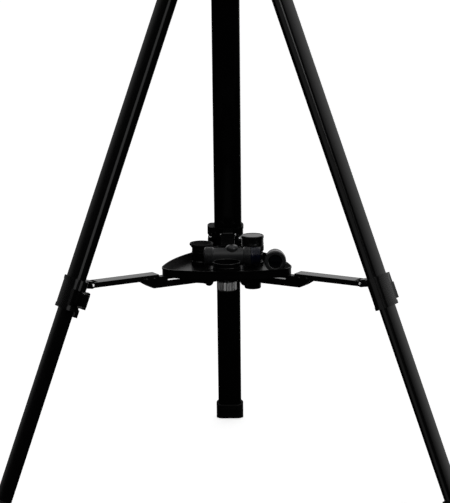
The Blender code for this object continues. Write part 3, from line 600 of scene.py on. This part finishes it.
def arm_channel():
    """Inner half of a spreader arm: a folded channel that forks round the hub's tongue."""
    pivot_x, drop = HUB_PIVOT_RADIUS - HINGE_RADIUS, -HUB_PIVOT_DROP
    side = arc(pivot_x + 4.5, drop - 2, 9.0, 330, 165, 32)
    side += [(pivot_x - 1, drop + 4.5), (pivot_x + 20, drop + 4.5), (pivot_x + 45, -5), (-150, -5)]
    side += [(-147, 1), (-112, 1), (-106, -1), (-105, -6.5), (-108, -9), (-124, -19), (-127, -20)]
    side += [(-217, -20), (-232, -22.5)]
    body = bevel(side_plate(side, CHANNEL_WIDE), 1.0, 3)
    hollow = box((-270, -CHANNEL_INSIDE, -18.5), (-90, CHANNEL_INSIDE, 20))
    fork = box((-270, -CHANNEL_INSIDE, -40), (-217, CHANNEL_INSIDE, 20))
    pivot = cross_rod(PIVOT_HOLE, 30, pivot_x, drop)
    return bevel(cut(body, hollow, fork, pivot, *rivet_holes()), 0.3)


def channel_strips():
    """Bright steel strips along the tops of the channel's cheeks, under the tray's corner: a painted
    highlight standing for the glint on the cheeks' top edges.
    """
    start, end = 110.0 - HINGE_RADIUS, 136.0 - HINGE_RADIUS
    return join(*[box((start, y, -7.6), (end, y + 0.7, -5.1), 0.2) for y in (-15.9, 15.2)])


def through_rivet(radius, shank, ring, drop):
    """Domed head at both ends of a shank along Y, at a radius from the tripod's axis."""
    reach = CHANNEL_WIDE / 2 + GAP
    profile = [(0, reach + 1.5), (0.45 * radius, reach + 1.38), (0.8 * radius, reach + 0.95)]
    profile += [(radius, reach + 0.35), (radius, reach), (shank, reach)]
    shape = lathe(both_ends(profile), PIN, 0.12)
    return move(turn(shape, 90, "X"), x=ring - HINGE_RADIUS, z=-drop)


def hinge_pin():
    profile = [(0, 15.6), (1.6, 15.6), (3.0, 15.2), (3.6, 14.5), (3.6, 13.3), (2.5, 13.3)]
    return turn(lathe(both_ends(profile), PIN, 0.2), 90, "X")


def add_legs():
    """One shape of each kind, copied to the three legs."""
    inner, outer = RIVET_RADII
    leg_pieces = {
        "leg_bolt": (leg_bolt(), "bright_steel", "crown"),
        "leg_knuckle": (leg_knuckle(), "black_plastic", "leg_{}"),
        "upper_tube": (tube(UPPER_WIDE, UPPER_THIN, UPPER_TOP, UPPER_END), "leg_paint", "leg_{}"),
        "collar": (collar(), "black_plastic", "leg_{}"),
        "clamp_pin": (clamp_pin(), "bright_steel", "leg_{}"),
        "lock_lever": (lock_lever(), "black_plastic", "lock_lever_{}"),
        "lower_tube": (tube(LOWER_WIDE, LOWER_THIN, LOWER_TOP, LOWER_END), "leg_paint", "lower_leg_{}"),
        "foot": (foot(), "rubber", "lower_leg_{}"),
    }
    arm_pieces = {
        "arm_bar": (arm_bar(), "arm_paint", "arm_{}"),
        "arm_channel": (arm_channel(), "arm_paint", "arm_{}"),
        # bright steel strips on the cheeks' top edges are a painted highlight for their glint
        "channel_strips": (channel_strips(), "bright_steel", "arm_{}"),
        "hinge_pin": (hinge_pin(), "bright_steel", "arm_{}"),
        "arm_rivet": (through_rivet(2.9, 1.5, inner, RIVET_DROP), "dark_steel", "arm_{}"),
        "arm_rivet_outer": (through_rivet(2.9, 1.5, outer, RIVET_DROP), "dark_steel", "arm_{}"),
        "hub_pin": (through_rivet(3.4, 2.0, HUB_PIVOT_RADIUS, HUB_PIVOT_DROP), "dark_steel", "spreader"),
    }
    for pieces, place in ((leg_pieces, leg_frame), (arm_pieces, arm_frame)):
        for kind, (shape, look, body) in pieces.items():
            for leg in LEGS:
                show(f"{kind}_{leg}_visual", shape, look, body.format(leg), place(leg))
    show("clamp_nut_c_visual", clamp_nut(), "bright_steel", "leg_c", leg_frame("c"))


# --- Spreader hub, tray and its knob ---
TRAY_CORNER, TRAY_SIDE, TRAY_CORNER_ARC = 136.0, 98.0, 28.0
TRAY_TOP, TRAY_BOTTOM, TRAY_FLOOR = 12.0, -4.0, 2.0
HOLE_RING = 56.0
HOLES = (30.0, 150.0, -90.0)


def on_ring(azimuth):
    a = math.radians(azimuth)
    return HOLE_RING * math.cos(a), HOLE_RING * math.sin(a)


def spreader_hub():
    """Hub under the tray with a tongue and a web for each arm."""
    drop, top = -HUB_PIVOT_DROP, TRAY_BOTTOM - GAP
    core = lathe([(0, top), (17.5, top), (17.5, -9), (15.5, -12), (15.5, -20), (17.5, -22)]
                 + [(17.5, -24), (0, -24)], FINE, 0.6)
    tongues = []
    for leg in LEGS:
        side = [(0, drop - 5)] + arc(HUB_PIVOT_RADIUS, drop, 5.0, -90, 90, 20) + [(0, drop + 5)]
        tongue = side_plate(side, 25.0)
        web = [(0, drop + 2), (HUB_PIVOT_RADIUS - 9, drop + 2), (14, TRAY_BOTTOM - 3), (0, TRAY_BOTTOM - 3)]
        tongues.append(turn(join(tongue, side_plate(web, 5.0)), around(leg), "Z"))
    holes = [turn(cross_rod(PIVOT_HOLE, 20, HUB_PIVOT_RADIUS, drop), around(leg), "Z") for leg in LEGS]
    return bevel(cut(join(core, *tongues), rod(SCREW_HOLE, -40, 20, PIN), *holes), 0.6)


def tray_outline(inset=0.0):
    """Three bowed sides tangent to three corner arcs, the corners over the arms."""
    steps = 24
    corner_centre = TRAY_CORNER - TRAY_CORNER_ARC
    near, across = corner_centre * 0.5, corner_centre * math.sqrt(3) / 2
    flat = TRAY_SIDE - TRAY_CORNER_ARC
    bow = (near * near + across * across - flat * flat) / (2 * (flat - near))
    half_angle = math.degrees(math.atan2(across, near + bow))
    points = []
    for leg in LEGS:
        azimuth = around(leg)
        a = math.radians(azimuth)
        spread = 60 - half_angle
        cx, cy = corner_centre * math.cos(a), corner_centre * math.sin(a)
        points += arc(cx, cy, TRAY_CORNER_ARC - inset, azimuth - spread, azimuth + spread, steps)
        side = azimuth + 60
        s = math.radians(side)
        points += arc(-bow * math.cos(s), -bow * math.sin(s), TRAY_SIDE + bow - inset, side - half_angle,
                      side + half_angle, steps)[1:-1]
    return points


def tray_body():
    """Shallow moulded dish with a rolled rim, a step inside the wall and chamfered holes."""
    height = TRAY_TOP - TRAY_BOTTOM
    shell = move(outline(tray_outline(0.7), height - 0.2), z=(TRAY_TOP + TRAY_BOTTOM) / 2)
    rim = move(outline(tray_outline(), 3.2), z=TRAY_TOP - 1.6)
    tabs = []
    floor = TRAY_BOTTOM + TRAY_FLOOR
    for leg in LEGS:
        tabs.append(turn(box((122, -9.5, TRAY_BOTTOM), (143, 9.5, floor)), around(leg), "Z"))
    shell = join(shell, rim, *tabs)
    inside = move(outline(tray_outline(2.1), 40), z=floor + 20)
    step = move(outline(tray_outline(1.5), 40), z=floor + 25)
    holes = [rod(SCREW_HOLE, -20, 20, PIN)]
    for azimuth in HOLES:
        x, y = on_ring(azimuth)
        profile = [(0, floor + 3), (17.6, floor + 3), (17.6, floor), (16.4, floor - 1.0), (16.4, -20)]
        profile += [(0, -20)]
        holes.append(move(lathe(profile), x=x, y=y))
    boss = lathe([(0, 4.0), (8.2, 4.0), (9.0, 3.2), (9.0, TRAY_BOTTOM + 0.5), (0, TRAY_BOTTOM + 0.5)])
    ridges = []
    for leg in LEGS:
        ridge = box((14, -0.9, TRAY_BOTTOM + 1), (96, 0.9, floor + 0.7))
        ridges.append(turn(ridge, around(leg), "Z"))
    body = join(cut(shell, inside, step), boss, *ridges)
    return bevel(cut(body, *holes), 0.45)


def tray_knob():
    """Aluminium hand knob with broad flutes, a turned face and its screw."""
    grip = fluted(19.0, 1.5, 20, -45.5, -25.5, 0.9)
    face = lathe([(0, -44.6), (12.0, -44.6), (12.6, -46.0), (0, -46.0)], FINE)
    stem = rod(9.0, -26.5, -24.3)
    screw = rod(4.0, -30.0, 5.0, PIN, 0.6)
    return join(cut(grip, face), stem, screw)


def add_tray():
    show("spreader_hub_visual", spreader_hub(), "black_plastic", "spreader", LEVEL)
    show("tray_visual", tray_body(), "tray_plastic", "spreader", LEVEL)
    show("tray_knob_visual", tray_knob(), "aluminium", "tray_knob", LEVEL)


# --- Accessories ---
SEAT = TRAY_BOTTOM + TRAY_FLOOR + GAP
BARREL = 31.75 / 2 - 0.1  # radius of a 1.25 inch barrel
BARLOW_REST = (2.0, -12.0, 22.0)
LYING_EYEPIECE_REST = (91.0, -24.0, 19.0)


def lens(radius, height, bulge=1.2):
    """A convex glass face of the given radius, its rim at the given height."""
    points = [(radius * k / 8, height + bulge * (1 - (k / 8) ** 2)) for k in range(9)]
    return lathe(points + [(radius, height - 1.5), (0, height - 1.5)])


def capped_eyepiece():
    """Tall eyepiece in the right-hand hole: knurled ring, grooved waist, seat flange, barrel and cap."""
    at = shifted(LEVEL, *on_ring(HOLES[0]))
    body = [(0, 36.9), (19.6, 36.9), (20.4, 36.2), (21.4, 35.0, 0.7), (21.4, 26.0, 0.7)]
    body += [(20.2, 24.8), (19.0, 21.0), (19.0, 8.6), (18.5, 8.2), (18.5, 7.4), (19.0, 7.0), (19.0, 5.0)]
    body += [(20.4, 4.0), (20.4, SEAT), (BARREL, SEAT), (BARREL, SEAT - 1), (0, SEAT - 1)]
    show("capped_eyepiece_visual", knurled(body, 0.4, 60), "anodised", "capped_eyepiece", at)
    barrel = [(BARREL, SEAT - 1.1), (BARREL, -14), (BARREL - 0.7, -15.2), (BARREL - 0.7, -21)]
    barrel += [(BARREL, -22.2), (BARREL, -46.2), (14.6, -47.5), (13.2, -47.5), (13.2, SEAT - 1.1)]
    show("capped_eyepiece_barrel", lathe(barrel, FINE, 0.3), "anodised", "capped_eyepiece", at)
    cap = [(0, 54.4), (17.6, 54.4), (18.6, 55.0), (20.4, 55.0), (21.6, 53.8), (21.6, 50.0), (20.9, 49.2)]
    cap += [(20.9, 40.0), (21.4, 39.2), (21.4, 37.3), (0, 37.3)]
    show("capped_eyepiece_cap_visual", lathe(cap, FINE, 0.5), "anodised", "capped_eyepiece_cap", at)


def wide_eyepiece():
    """Short eyepiece in the left-hand hole with a flared rubber cup round its eye lens."""
    at = shifted(LEVEL, *on_ring(HOLES[1]))
    body = [(15.2, 27.0), (15.2, 30.4), (17.6, 30.4), (17.8, 29.6), (17.8, 24.4)]
    body += [(18.4, 23.4, 0.5), (18.4, 10.5, 0.5), (17.8, 9.5), (17.8, 7.6), (18.8, 6), (18.8, SEAT)]
    body += [(BARREL, SEAT), (BARREL, -25.2), (15.2, -26), (13.5, -26), (13.5, 27.0)]
    show("wide_eyepiece_visual", knurled(body, 0.3, 54, closed=True), "anodised", "wide_eyepiece", at)
    cup = [(15.3, 30.6), (16.4, 33.0), (19.3, 39.6), (20.4, 40.5), (21.8, 40.4), (22.3, 39.6)]
    cup += [(22.3, 37.4), (21.2, 35.6), (20.4, 35.3), (19.6, 34.0), (19.4, 33.0), (18.2, 32.4), (17.7, 30.6)]
    show("wide_eyepiece_cup_visual", lathe(cup, FINE, 0.35), "rubber", "wide_eyepiece", at)
    show("wide_eyepiece_lens", lens(13.4, 25.0), "glass", "wide_eyepiece", at)


def storage_cup():
    """Low cup with a beaded lip over the front hole."""
    at = shifted(LEVEL, *on_ring(HOLES[2]))
    floor = SEAT + 2.5
    profile = [(0, floor), (22.6, floor), (24.0, floor + 1.4), (24.2, 21.2), (24.9, 22.0), (26.0, 22.0)]
    profile += [(26.4, 21.4), (26.4, 18.6), (25.7, 17.6), (25.7, 14.0), (26.2, 13.4, 0.35), (26.2, 5.4, 0.35)]
    profile += [(25.7, 4.8), (25.7, SEAT + 1.2), (24.9, SEAT), (0, SEAT)]
    show("storage_cup_visual", knurled(profile, 0.3, 72), "black_plastic", "storage_cup", at)


def barlow():
    """Fat grey tube lying in the tray: ribbed rings, a domed saddle and a dark blue nose with its lens."""
    at = shifted(LEVEL, *BARLOW_REST)
    ring, waist = 18.3, 16.4
    profile = [(0, 43.0), (16.2, 43.0), (17.4, 42.2)] + ribs_on(ring, 0.9, 30.0, 41.6, 5) + [(waist, 29.2)]
    profile += [(waist, -26.4)] + ribs_on(ring, 0.9, -43.6, -28.0, 6)
    profile += [(waist, -44.4), (15.2, -45.0), (0, -45.0)]
    body = turn(lathe(profile, FINE, 0.3), 90, "Y")
    dome = [(0, 22.5), (3.5, 22.4), (6.5, 21.9), (9.0, 20.8), (11.0, 19.0), (12.2, 16.8), (12.5, 14.5)]
    saddle = move(lathe(dome + [(12.5, 8), (0, 8)]), x=8)
    show("barlow_body_visual", join(body, saddle), "mid_grey", "barlow", at)
    nose = [(13.5, 50.2), (13.5, 60.2), (14.4, 61.0), (16.4, 61.0)] + ribs_on(17.2, 0.5, 46.6, 60.4, 6)
    nose += [(17.2, 45.6), (17.2, 43.3), (13.5, 43.3)]
    nose = turn(lathe(nose, FINE, 0.25), 90, "Y")
    show("barlow_nose_visual", nose, "dark_blue", "barlow", at)
    show("barlow_lens", turn(lens(13.4, 48.4, 1.4), 90, "Y"), "glass", "barlow", at)


def lying_eyepiece():
    """Eyepiece lying on its side with its eye lens towards the front."""
    at = shifted(LEVEL, *LYING_EYEPIECE_REST)
    body = [(12.2, 20.0), (12.6, 23.6), (14.0, 24.2), (18.4, 24.2), (20.0, 22.6)]
    body += [(20.6, 21.6, 0.6), (20.6, 7.6, 0.6), (20.0, 6.4), (18.5, 3.0), (18.5, -1.0), (18.0, -1.5)]
    body += [(18.0, -2.6), (18.5, -3.0), (18.5, -8.0), (15.8, -10.0), (15.8, -21.2), (15.0, -22.0)]
    body += [(12.2, -22.0)]
    shape = turn(knurled(body, 0.35, 60, closed=True), 90, "X")
    show("lying_eyepiece_visual", shape, "anodised", "lying_eyepiece", at)
    ring = [(13.6, 24.1), (14.2, 24.6), (18.2, 24.6), (19.4, 23.6), (19.0, 23.2), (13.6, 23.6)]
    ring = turn(lathe(ring, FINE, 0.15), 90, "X")
    show("lying_eyepiece_ring", ring, "grey_plate", "lying_eyepiece", at)
    show("lying_eyepiece_lens", turn(lens(12.15, 20.4, 1.8), 90, "X"), "glass", "lying_eyepiece", at)
    back = turn(lens(12.15, 19.0, 0.8), -90, "X")
    show("lying_eyepiece_field_lens", back, "glass", "lying_eyepiece", at)


# --- Crown and fluid head ---
CROWN_TOP = 1105.0
TILT_HEIGHT = JOINTS["head_tilt"]["pos_m"][2] / MM
LUG_RADIUS = 70.0  # the leg bolts' distance from the tripod's axis
HANDLE_OFFSET = 10.0  # the handle tube's distance beside the clamp's face
TUBE_END, GRIP_END = 249.0, 254.2  # distances along the handle from the tilt axis


def crown_body():
    """Casting at the top of the legs, with a pair of lugs for each leg."""
    top = CROWN_TOP - PIVOT_HEIGHT / MM
    body = lathe([(0, top), (48, top), (50, top - 2), (50, top - 6), (46, top - 9), (45.2, top - 12)]
                 + [(45.2, -8), (46, -12), (42, -16), (18, -16), (17, -13), (0, -13)], FINE, 1.0)
    lugs = []
    for leg in LEGS:
        for side in (-25.5, 25.5):
            end = arc(LUG_RADIUS, 0, 13.0, 90, -90, 32)
            lug = side_plate([(30, 13)] + end + [(30, -13)], 8.0, y=side)
            lugs.append(turn(lug, around(leg), "Z"))
    body = join(body, *lugs)
    holes = [turn(cross_rod(BOLT_HOLE, 40, LUG_RADIUS), around(leg), "Z") for leg in LEGS]
    return bevel(cut(body, rod(BOLT_HOLE, -30, 60, PIN), *holes), 0.8)


def head_clamp_knob():
    """Knob under the crown with the stud that holds the head."""
    grip = fluted(17.0, 2.2, 8, -44.0, -24.0, 1.6)
    stem = rod(9.0, -26.0, -16.3, FINE, 0.4)
    stud = rod(4.9, -20.0, 47.0, PIN, 0.6)
    return join(grip, stem, stud)


def head_base():
    low = CROWN_TOP + GAP
    profile = [(0, low + 16), (33, low + 16), (36.6, low + 13.6), (38, low + 12), (38, low + 2), (36, low)]
    return cut(lathe(profile + [(0, low)], FINE, 0.8), rod(BOLT_HOLE, low - 10, CROWN_TOP + 13, PIN))


def pan_body():
    """Grooved drum, the tilt block with its side windows, and the ledge that holds the level."""
    low = CROWN_TOP + 16.6
    drum = lathe([(0, 1148), (32, 1148), (35.2, 1145.4), (36, 1144), (36, 1130), (35.2, 1129.3)]
                 + [(35.2, 1127.6), (36, 1126.9), (36, low + 2), (34, low), (0, low)], FINE, 0.6)
    block = turn(side_plate([(-24, 1140), (24, 1140)] + arc(0, TILT_HEIGHT, 24.0, 0, 180, 48), 50.0), 90, "Z")
    ledge = bevel(box((-16, 22, 1128), (16, 44, 1146)), 3.0, 4, 60)
    windows = [box((x, -15, 1152), (x + 3.6, 15, 1162)) for x in (-26, 22.4)]
    body = join(drum, block, ledge)
    socket = move(rod(8.3, 1143.5, 1160), y=34)
    screw_hole = side_rod(SCREW_HOLE, -60, -18, z=1134, sides=PIN)
    tilt_bore = side_rod(10.3, -40, 40, z=TILT_HEIGHT)
    return bevel(cut(body, socket, screw_hole, tilt_bore, *windows), 0.7)


def tilt_cradle():
    """Deck with two rails for the plate, on two cheeks that hang on the tilt shaft."""
    rim = [(-26, 1224)] + arc(0, TILT_HEIGHT, 22.0, 180, 360, 48) + [(26, 1224)]
    cheeks = [move(turn(side_plate(rim, 9.0), 90, "Z"), x=x) for x in (-30.0, 30.0)]
    shaft = side_rod(10.0, -30, 30, z=TILT_HEIGHT)
    boss = side_rod(12.0, 32, 46, z=TILT_HEIGHT, edge=0.5)
    deck = box((-34.5, -48, 1218), (34.5, 48, 1226))
    rails = [box((x, -48, 1224), (x + 7.5, 48, 1238)) for x in (-34.5, 27)]
    body = join(deck, *rails, *cheeks, shaft, boss)
    knob_hole = side_rod(SCREW_HOLE, 20, 60, 30, 1231, PIN)
    handle_hole = side_rod(SCREW_HOLE, 30, 60, z=TILT_HEIGHT, sides=PIN)
    return bevel(cut(body, knob_hole, handle_hole), 0.8)


def quick_plate():
    """Dovetail foot and a pad, bored for the camera screw."""
    foot_plate = bevel(box((-26.7, -44, 1226.3), (26.7, 44, 1236)), 0.7)
    pad = box((-22, -40, 1235), (22, 40, 1240))
    body = join(foot_plate, pad)
    return bevel(cut(body, rod(3.6, 1200, 1260, PIN), rod(8.5, 1200, 1233)), 0.5)


def plate_pad():
    """Rubber face in strips, with a gap round the screw."""
    starts = (-39.4, -30.6, -21.8, 14.4, 23.2, 32.0)
    return gather(*[box((-21.4, y, 1240.0), (21.4, y + 7.4, 1241.0), 0.3) for y in starts])


def camera_screw():
    """Threaded stud with a slotted head below the plate."""
    thread = [(0, 1247.0), (2.4, 1247.0)]
    for k in range(6):
        thread += [(3.2, 1246.2 - k), (2.75, 1245.7 - k)]
    thread += [(2.75, 1232.0), (6.6, 1232.0), (8.0, 1231.2), (8.0, 1227.2), (7.4, 1226.6), (0, 1226.6)]
    return cut(lathe(thread), box((-9, -0.8, 1220), (9, 0.8, 1228.2)))


def side_knob(length, radius, reach):
    """A fluted knob on a collared stem along +X, with a dished face."""
    grip = fluted(radius, 1.6, 7, reach, length, 1.4)
    high, low = length + 1, length - 0.8
    dish = lathe([(0, high), (radius * 0.55, high), (radius * 0.5, low), (0, low)])
    stem = lathe([(0, reach + 1), (4.0, reach + 1), (4.0, 0), (0, 0)], PIN, 0.3)
    return turn(join(cut(grip, dish), stem), 90, "Y")


def handle_clamp():
    """Disc on the tilt axis with the socket that takes the handle's tube."""
    disc = side_rod(13.0, 0, 12, edge=0.8)
    arm = move(turn(rod(8.5, 0, 30, FINE, 0.8), 90, "X"), x=HANDLE_OFFSET)
    bore = side_rod(SCREW_HOLE, -5, 30, sides=PIN)
    socket = move(turn(rod(6.3, 16, 40), 90, "X"), x=HANDLE_OFFSET)
    return bevel(cut(join(disc, arm), bore, socket), 0.4)


def handle_grip():
    """Swelling rubber sleeve with moulded rings and a domed end."""
    profile = [(0, 0), (6.0, -0.3), (9.4, -1.2), (11, -3.4), (11, -19)]
    for k in range(14):
        z = -20 - 5.2 * k
        swell = 10.0 + 1.0 * abs((z + 56.0) / 38.0) ** 2
        profile += [(swell, z), (swell, z - 3.2), (swell - 0.8, z - 3.9), (swell - 0.8, z - 4.5)]
    profile += [(11.2, -94), (11.3, -97.5), (9, -100), (6.3, -100), (6.3, -4), (0, -4)]
    return turn(lathe(profile, FINE, 0.4), 90, "X")


def scale_marks(radius, low, high, count, long_every):
    """Short engraved ticks round a drum, without numbers."""
    marks = []
    for k in range(count):
        top = high if k % long_every == 0 else low + 0.6 * (high - low)
        mark = box((radius - 0.2, -0.16, low), (radius + 0.04, 0.16, top))
        marks.append(turn(mark, 360.0 * k / count, "Z"))
    return gather(*marks)


def add_head():
    show("crown_visual", crown_body(), "black_plastic", "crown", CROWN)
    show("head_clamp_knob_visual", head_clamp_knob(), "black_plastic", "head_clamp_knob", CROWN)
    show("head_base_visual", head_base(), "head_paint", "crown")
    show("pan_body_visual", pan_body(), "head_paint", "pan")
    show("pan_scale", scale_marks(38.0, 1109.0, 1114.0, 72, 6), "marking", "crown")
    level = lathe([(0, 1147.9), (4.0, 1147.8), (6.8, 1147.3), (6.8, 1143.9), (0, 1143.9)], FINE, 0.2)
    rim = [(6.9, 1147.2), (7.2, 1148.0), (7.8, 1148.0), (8.0, 1147.4), (8.0, 1143.9), (6.9, 1143.9)]
    rim = lathe(rim, FINE, 0.15)
    spot = shifted(STAND, 0, 34)
    show("bubble_level_visual", level, "level_fluid", "pan", spot)
    show("bubble_level_rim", rim, "aluminium", "pan", spot)
    knob = turn(side_knob(32, 11.0, 16.0), 180, "Z")
    show("pan_lock_knob_visual", knob, "black_plastic", "pan_lock_knob", shifted(STAND, -22, 0, 1134))
    show("tilt_cradle_visual", tilt_cradle(), "head_paint", "tilt")
    show("quick_plate_visual", quick_plate(), "grey_plate", "plate")
    show("plate_pad", plate_pad(), "rubber", "plate")
    show("camera_screw_visual", camera_screw(), "bright_steel", "camera_screw")
    show("plate_lock_knob_visual", side_knob(28, 9.0, 10.0), "black_plastic", "plate_lock_knob",
         shifted(STAND, 27.5, 30, 1231))
    show("handle_clamp_visual", handle_clamp(), "black_plastic", "handle", HANDLE)
    show("handle_clamp_knob_visual", side_knob(46, 11.0, 31.0), "black_plastic", "handle_clamp_knob",
         shifted(HANDLE, -12, 0))
    along = shifted(HANDLE, HANDLE_OFFSET, 0)
    handle = turn(rod(6.0, 16.0 + GAP, TUBE_END, FINE, 0.4), 90, "X")
    show("handle_tube_visual", handle, "leg_paint", "handle", along)
    show("handle_grip_visual", handle_grip(), "rubber", "handle", shifted(along, 0, -GRIP_END))


add_legs()
add_tray()
capped_eyepiece()
wide_eyepiece()
storage_cup()
barlow()
lying_eyepiece()
add_head()
for leftover in list(WORK.objects):
    bpy.data.objects.remove(leftover, do_unlink=True)
bpy.data.collections.remove(WORK)


# --- Floor, light and camera ---
FLOOR_GLOW = 0.72
STUDIO_FILL = 0.006  # brightness of the dark studio between its panels
PANEL_DISTANCE = 2.4  # from the spreader's middle to the soft panels, metres


def add_floor():
    bm = bmesh.new()
    bmesh.ops.create_grid(bm, x_segments=8, y_segments=8, size=30.0)
    mesh = bpy.data.meshes.new("floor")
    bm.to_mesh(mesh)
    bm.free()
    floor = bpy.data.objects.new("floor", mesh)
    SCENE.collection.objects.link(floor)
    look = finish("pale_floor", grey(0.88), grey(0.9), (0.85, 0.95), 40.0, 0.0, specular=0.0)
    shader = look.node_tree.nodes["Principled BSDF"]
    shader.inputs["Emission Color"].default_value = (1, 1, 1, 1)
    shader.inputs["Emission Strength"].default_value = FLOOR_GLOW
    mesh.materials.append(look)
    floor.visible_glossy = False
    floor.visible_diffuse = False


def add_world():
    """White behind the object, and a dark studio with soft panels of light in the reflections."""
    world = bpy.data.worlds.new("studio")
    SCENE.world = world
    world.use_nodes = True
    tree = world.node_tree
    tree.nodes.clear()
    link = tree.links.new
    direction = add(tree, "ShaderNodeTexCoord")
    # (direction, cosine where the panel is full, cosine where it ends, brightness)
    panels = (
        ((0.0, 0.97, 0.22), 0.95, 0.76, 0.42),
        ((-0.45, 0.87, 0.20), 0.978, 0.848, 0.25),
        ((0.55, 0.80, 0.18), 0.9945, 0.743, 0.5),
        ((0.0, -0.1, 1.0), 0.9, 0.55, 0.6),
    )
    total = None
    for way, full, none, strength in panels:
        dot = add(tree, "ShaderNodeVectorMath", operation="DOT_PRODUCT")
        dot.inputs[1].default_value = Vector(way).normalized()
        link(direction.outputs["Generated"], dot.inputs[0])
        glow = remap(tree, dot.outputs["Value"], none, full, 0.0, strength, interpolation_type="SMOOTHSTEP")
        if total is None:
            total = glow
        else:
            both = add(tree, "ShaderNodeMath", operation="ADD")
            link(total, both.inputs[0])
            link(glow, both.inputs[1])
            total = both.outputs["Value"]
    lifted = add(tree, "ShaderNodeMath", operation="ADD")
    lifted.inputs[1].default_value = STUDIO_FILL
    link(total, lifted.inputs[0])
    studio = add(tree, "ShaderNodeBackground")
    studio.inputs["Color"].default_value = (1, 1, 1, 1)
    link(lifted.outputs["Value"], studio.inputs["Strength"])
    backdrop = add(tree, "ShaderNodeBackground", Strength=1.0)
    backdrop.inputs["Color"].default_value = (1, 1, 1, 1)
    ray = add(tree, "ShaderNodeLightPath")
    mix = add(tree, "ShaderNodeMixShader")
    link(ray.outputs["Is Camera Ray"], mix.inputs["Fac"])
    link(studio.outputs[0], mix.inputs[1])
    link(backdrop.outputs[0], mix.inputs[2])
    output = add(tree, "ShaderNodeOutputWorld")
    link(mix.outputs[0], output.inputs["Surface"])


def add_key_light():
    """One large soft panel, high on the right of the front."""
    data = bpy.data.lights.new("key", "AREA")
    data.shape = "DISK"
    data.size = 2.4
    data.energy = 28.0
    place_light(data, AXIS + Vector((2.6, -2.8, 3.4)), AXIS + Vector((0, 0, 0.6)))


def add_soft_panels():
    """Soft round panels at the front, each lighting only the pieces it is meant for."""
    left_leg = ("upper_tube_a_visual", "collar_a_visual")
    right_leg = ("upper_tube_b_visual", "lower_tube_b_visual", "collar_b_visual")
    # the cheek strips here are a painted highlight, also lit by the two knob panels
    metal = ("tray_knob_visual", "lying_eyepiece_visual", "lying_eyepiece_ring", "channel_strips_a_visual",
             "channel_strips_b_visual", "hinge_pin_a_visual", "hinge_pin_b_visual")
    # (name, direction to the panel, radius, energy, pieces)
    panels = (
        ("left", Vector((-0.62, -0.70, 0.34)), 1.0, 6.6, left_leg),
        ("right", Vector((-0.25, -0.93, 0.25)), 1.8, 6.5, right_leg),
        ("knob right", Vector((0.80, -0.60, 0.05)), 0.9, 8.0, metal),
        ("knob left", Vector((-0.70, -0.70, 0.05)), 0.9, 3.2, metal),
    )
    target = Vector((AXIS.x, AXIS.y, HINGE.z))
    for name, way, radius, energy, pieces in panels:
        data = bpy.data.lights.new(name, "AREA")
        data.shape = "DISK"
        data.size = 2 * radius
        data.energy = energy
        light = place_light(data, target + PANEL_DISTANCE * way.normalized(), target)
        lit = bpy.data.collections.new(name + " pieces")
        for piece in pieces:
            lit.objects.link(bpy.data.objects[piece])
        light.light_linking.receiver_collection = lit


def place_light(data, position, target):
    light = bpy.data.objects.new(data.name, data)
    SCENE.collection.objects.link(light)
    light.location = position
    light.rotation_euler = (target - position).to_track_quat("-Z", "Y").to_euler()
    light.visible_camera = False
    return light


def add_camera():
    """A long lens in front of the tripod, level with the head and looking slightly down."""
    distance, height_above_hinge = 6.567, 1.431
    yaw, pan, pitch, roll = 0.45, 0.03, 12.05, -0.47
    data = bpy.data.cameras.new("camera")
    data.lens = 254.8
    data.sensor_width = 36.0
    data.sensor_fit = "AUTO"
    data.clip_end = 100.0
    camera = bpy.data.objects.new("camera", data)
    SCENE.collection.objects.link(camera)
    spin = Matrix.Rotation(math.radians(yaw), 4, "Z")
    camera.location = AXIS + spin @ Vector((0, -distance, 0)) + Vector((0, 0, HINGE.z + height_above_hinge))
    look = (Matrix.Rotation(math.radians(yaw + pan), 4, "Z")
            @ Matrix.Rotation(math.radians(90 - pitch), 4, "X")
            @ Matrix.Rotation(math.radians(roll), 4, "Z"))
    camera.rotation_euler = look.to_euler()
    SCENE.camera = camera


add_floor()
add_world()
add_key_light()
add_soft_panels()
add_camera()
SCENE.view_settings.view_transform = "Standard"
SCENE.view_settings.look = "None"
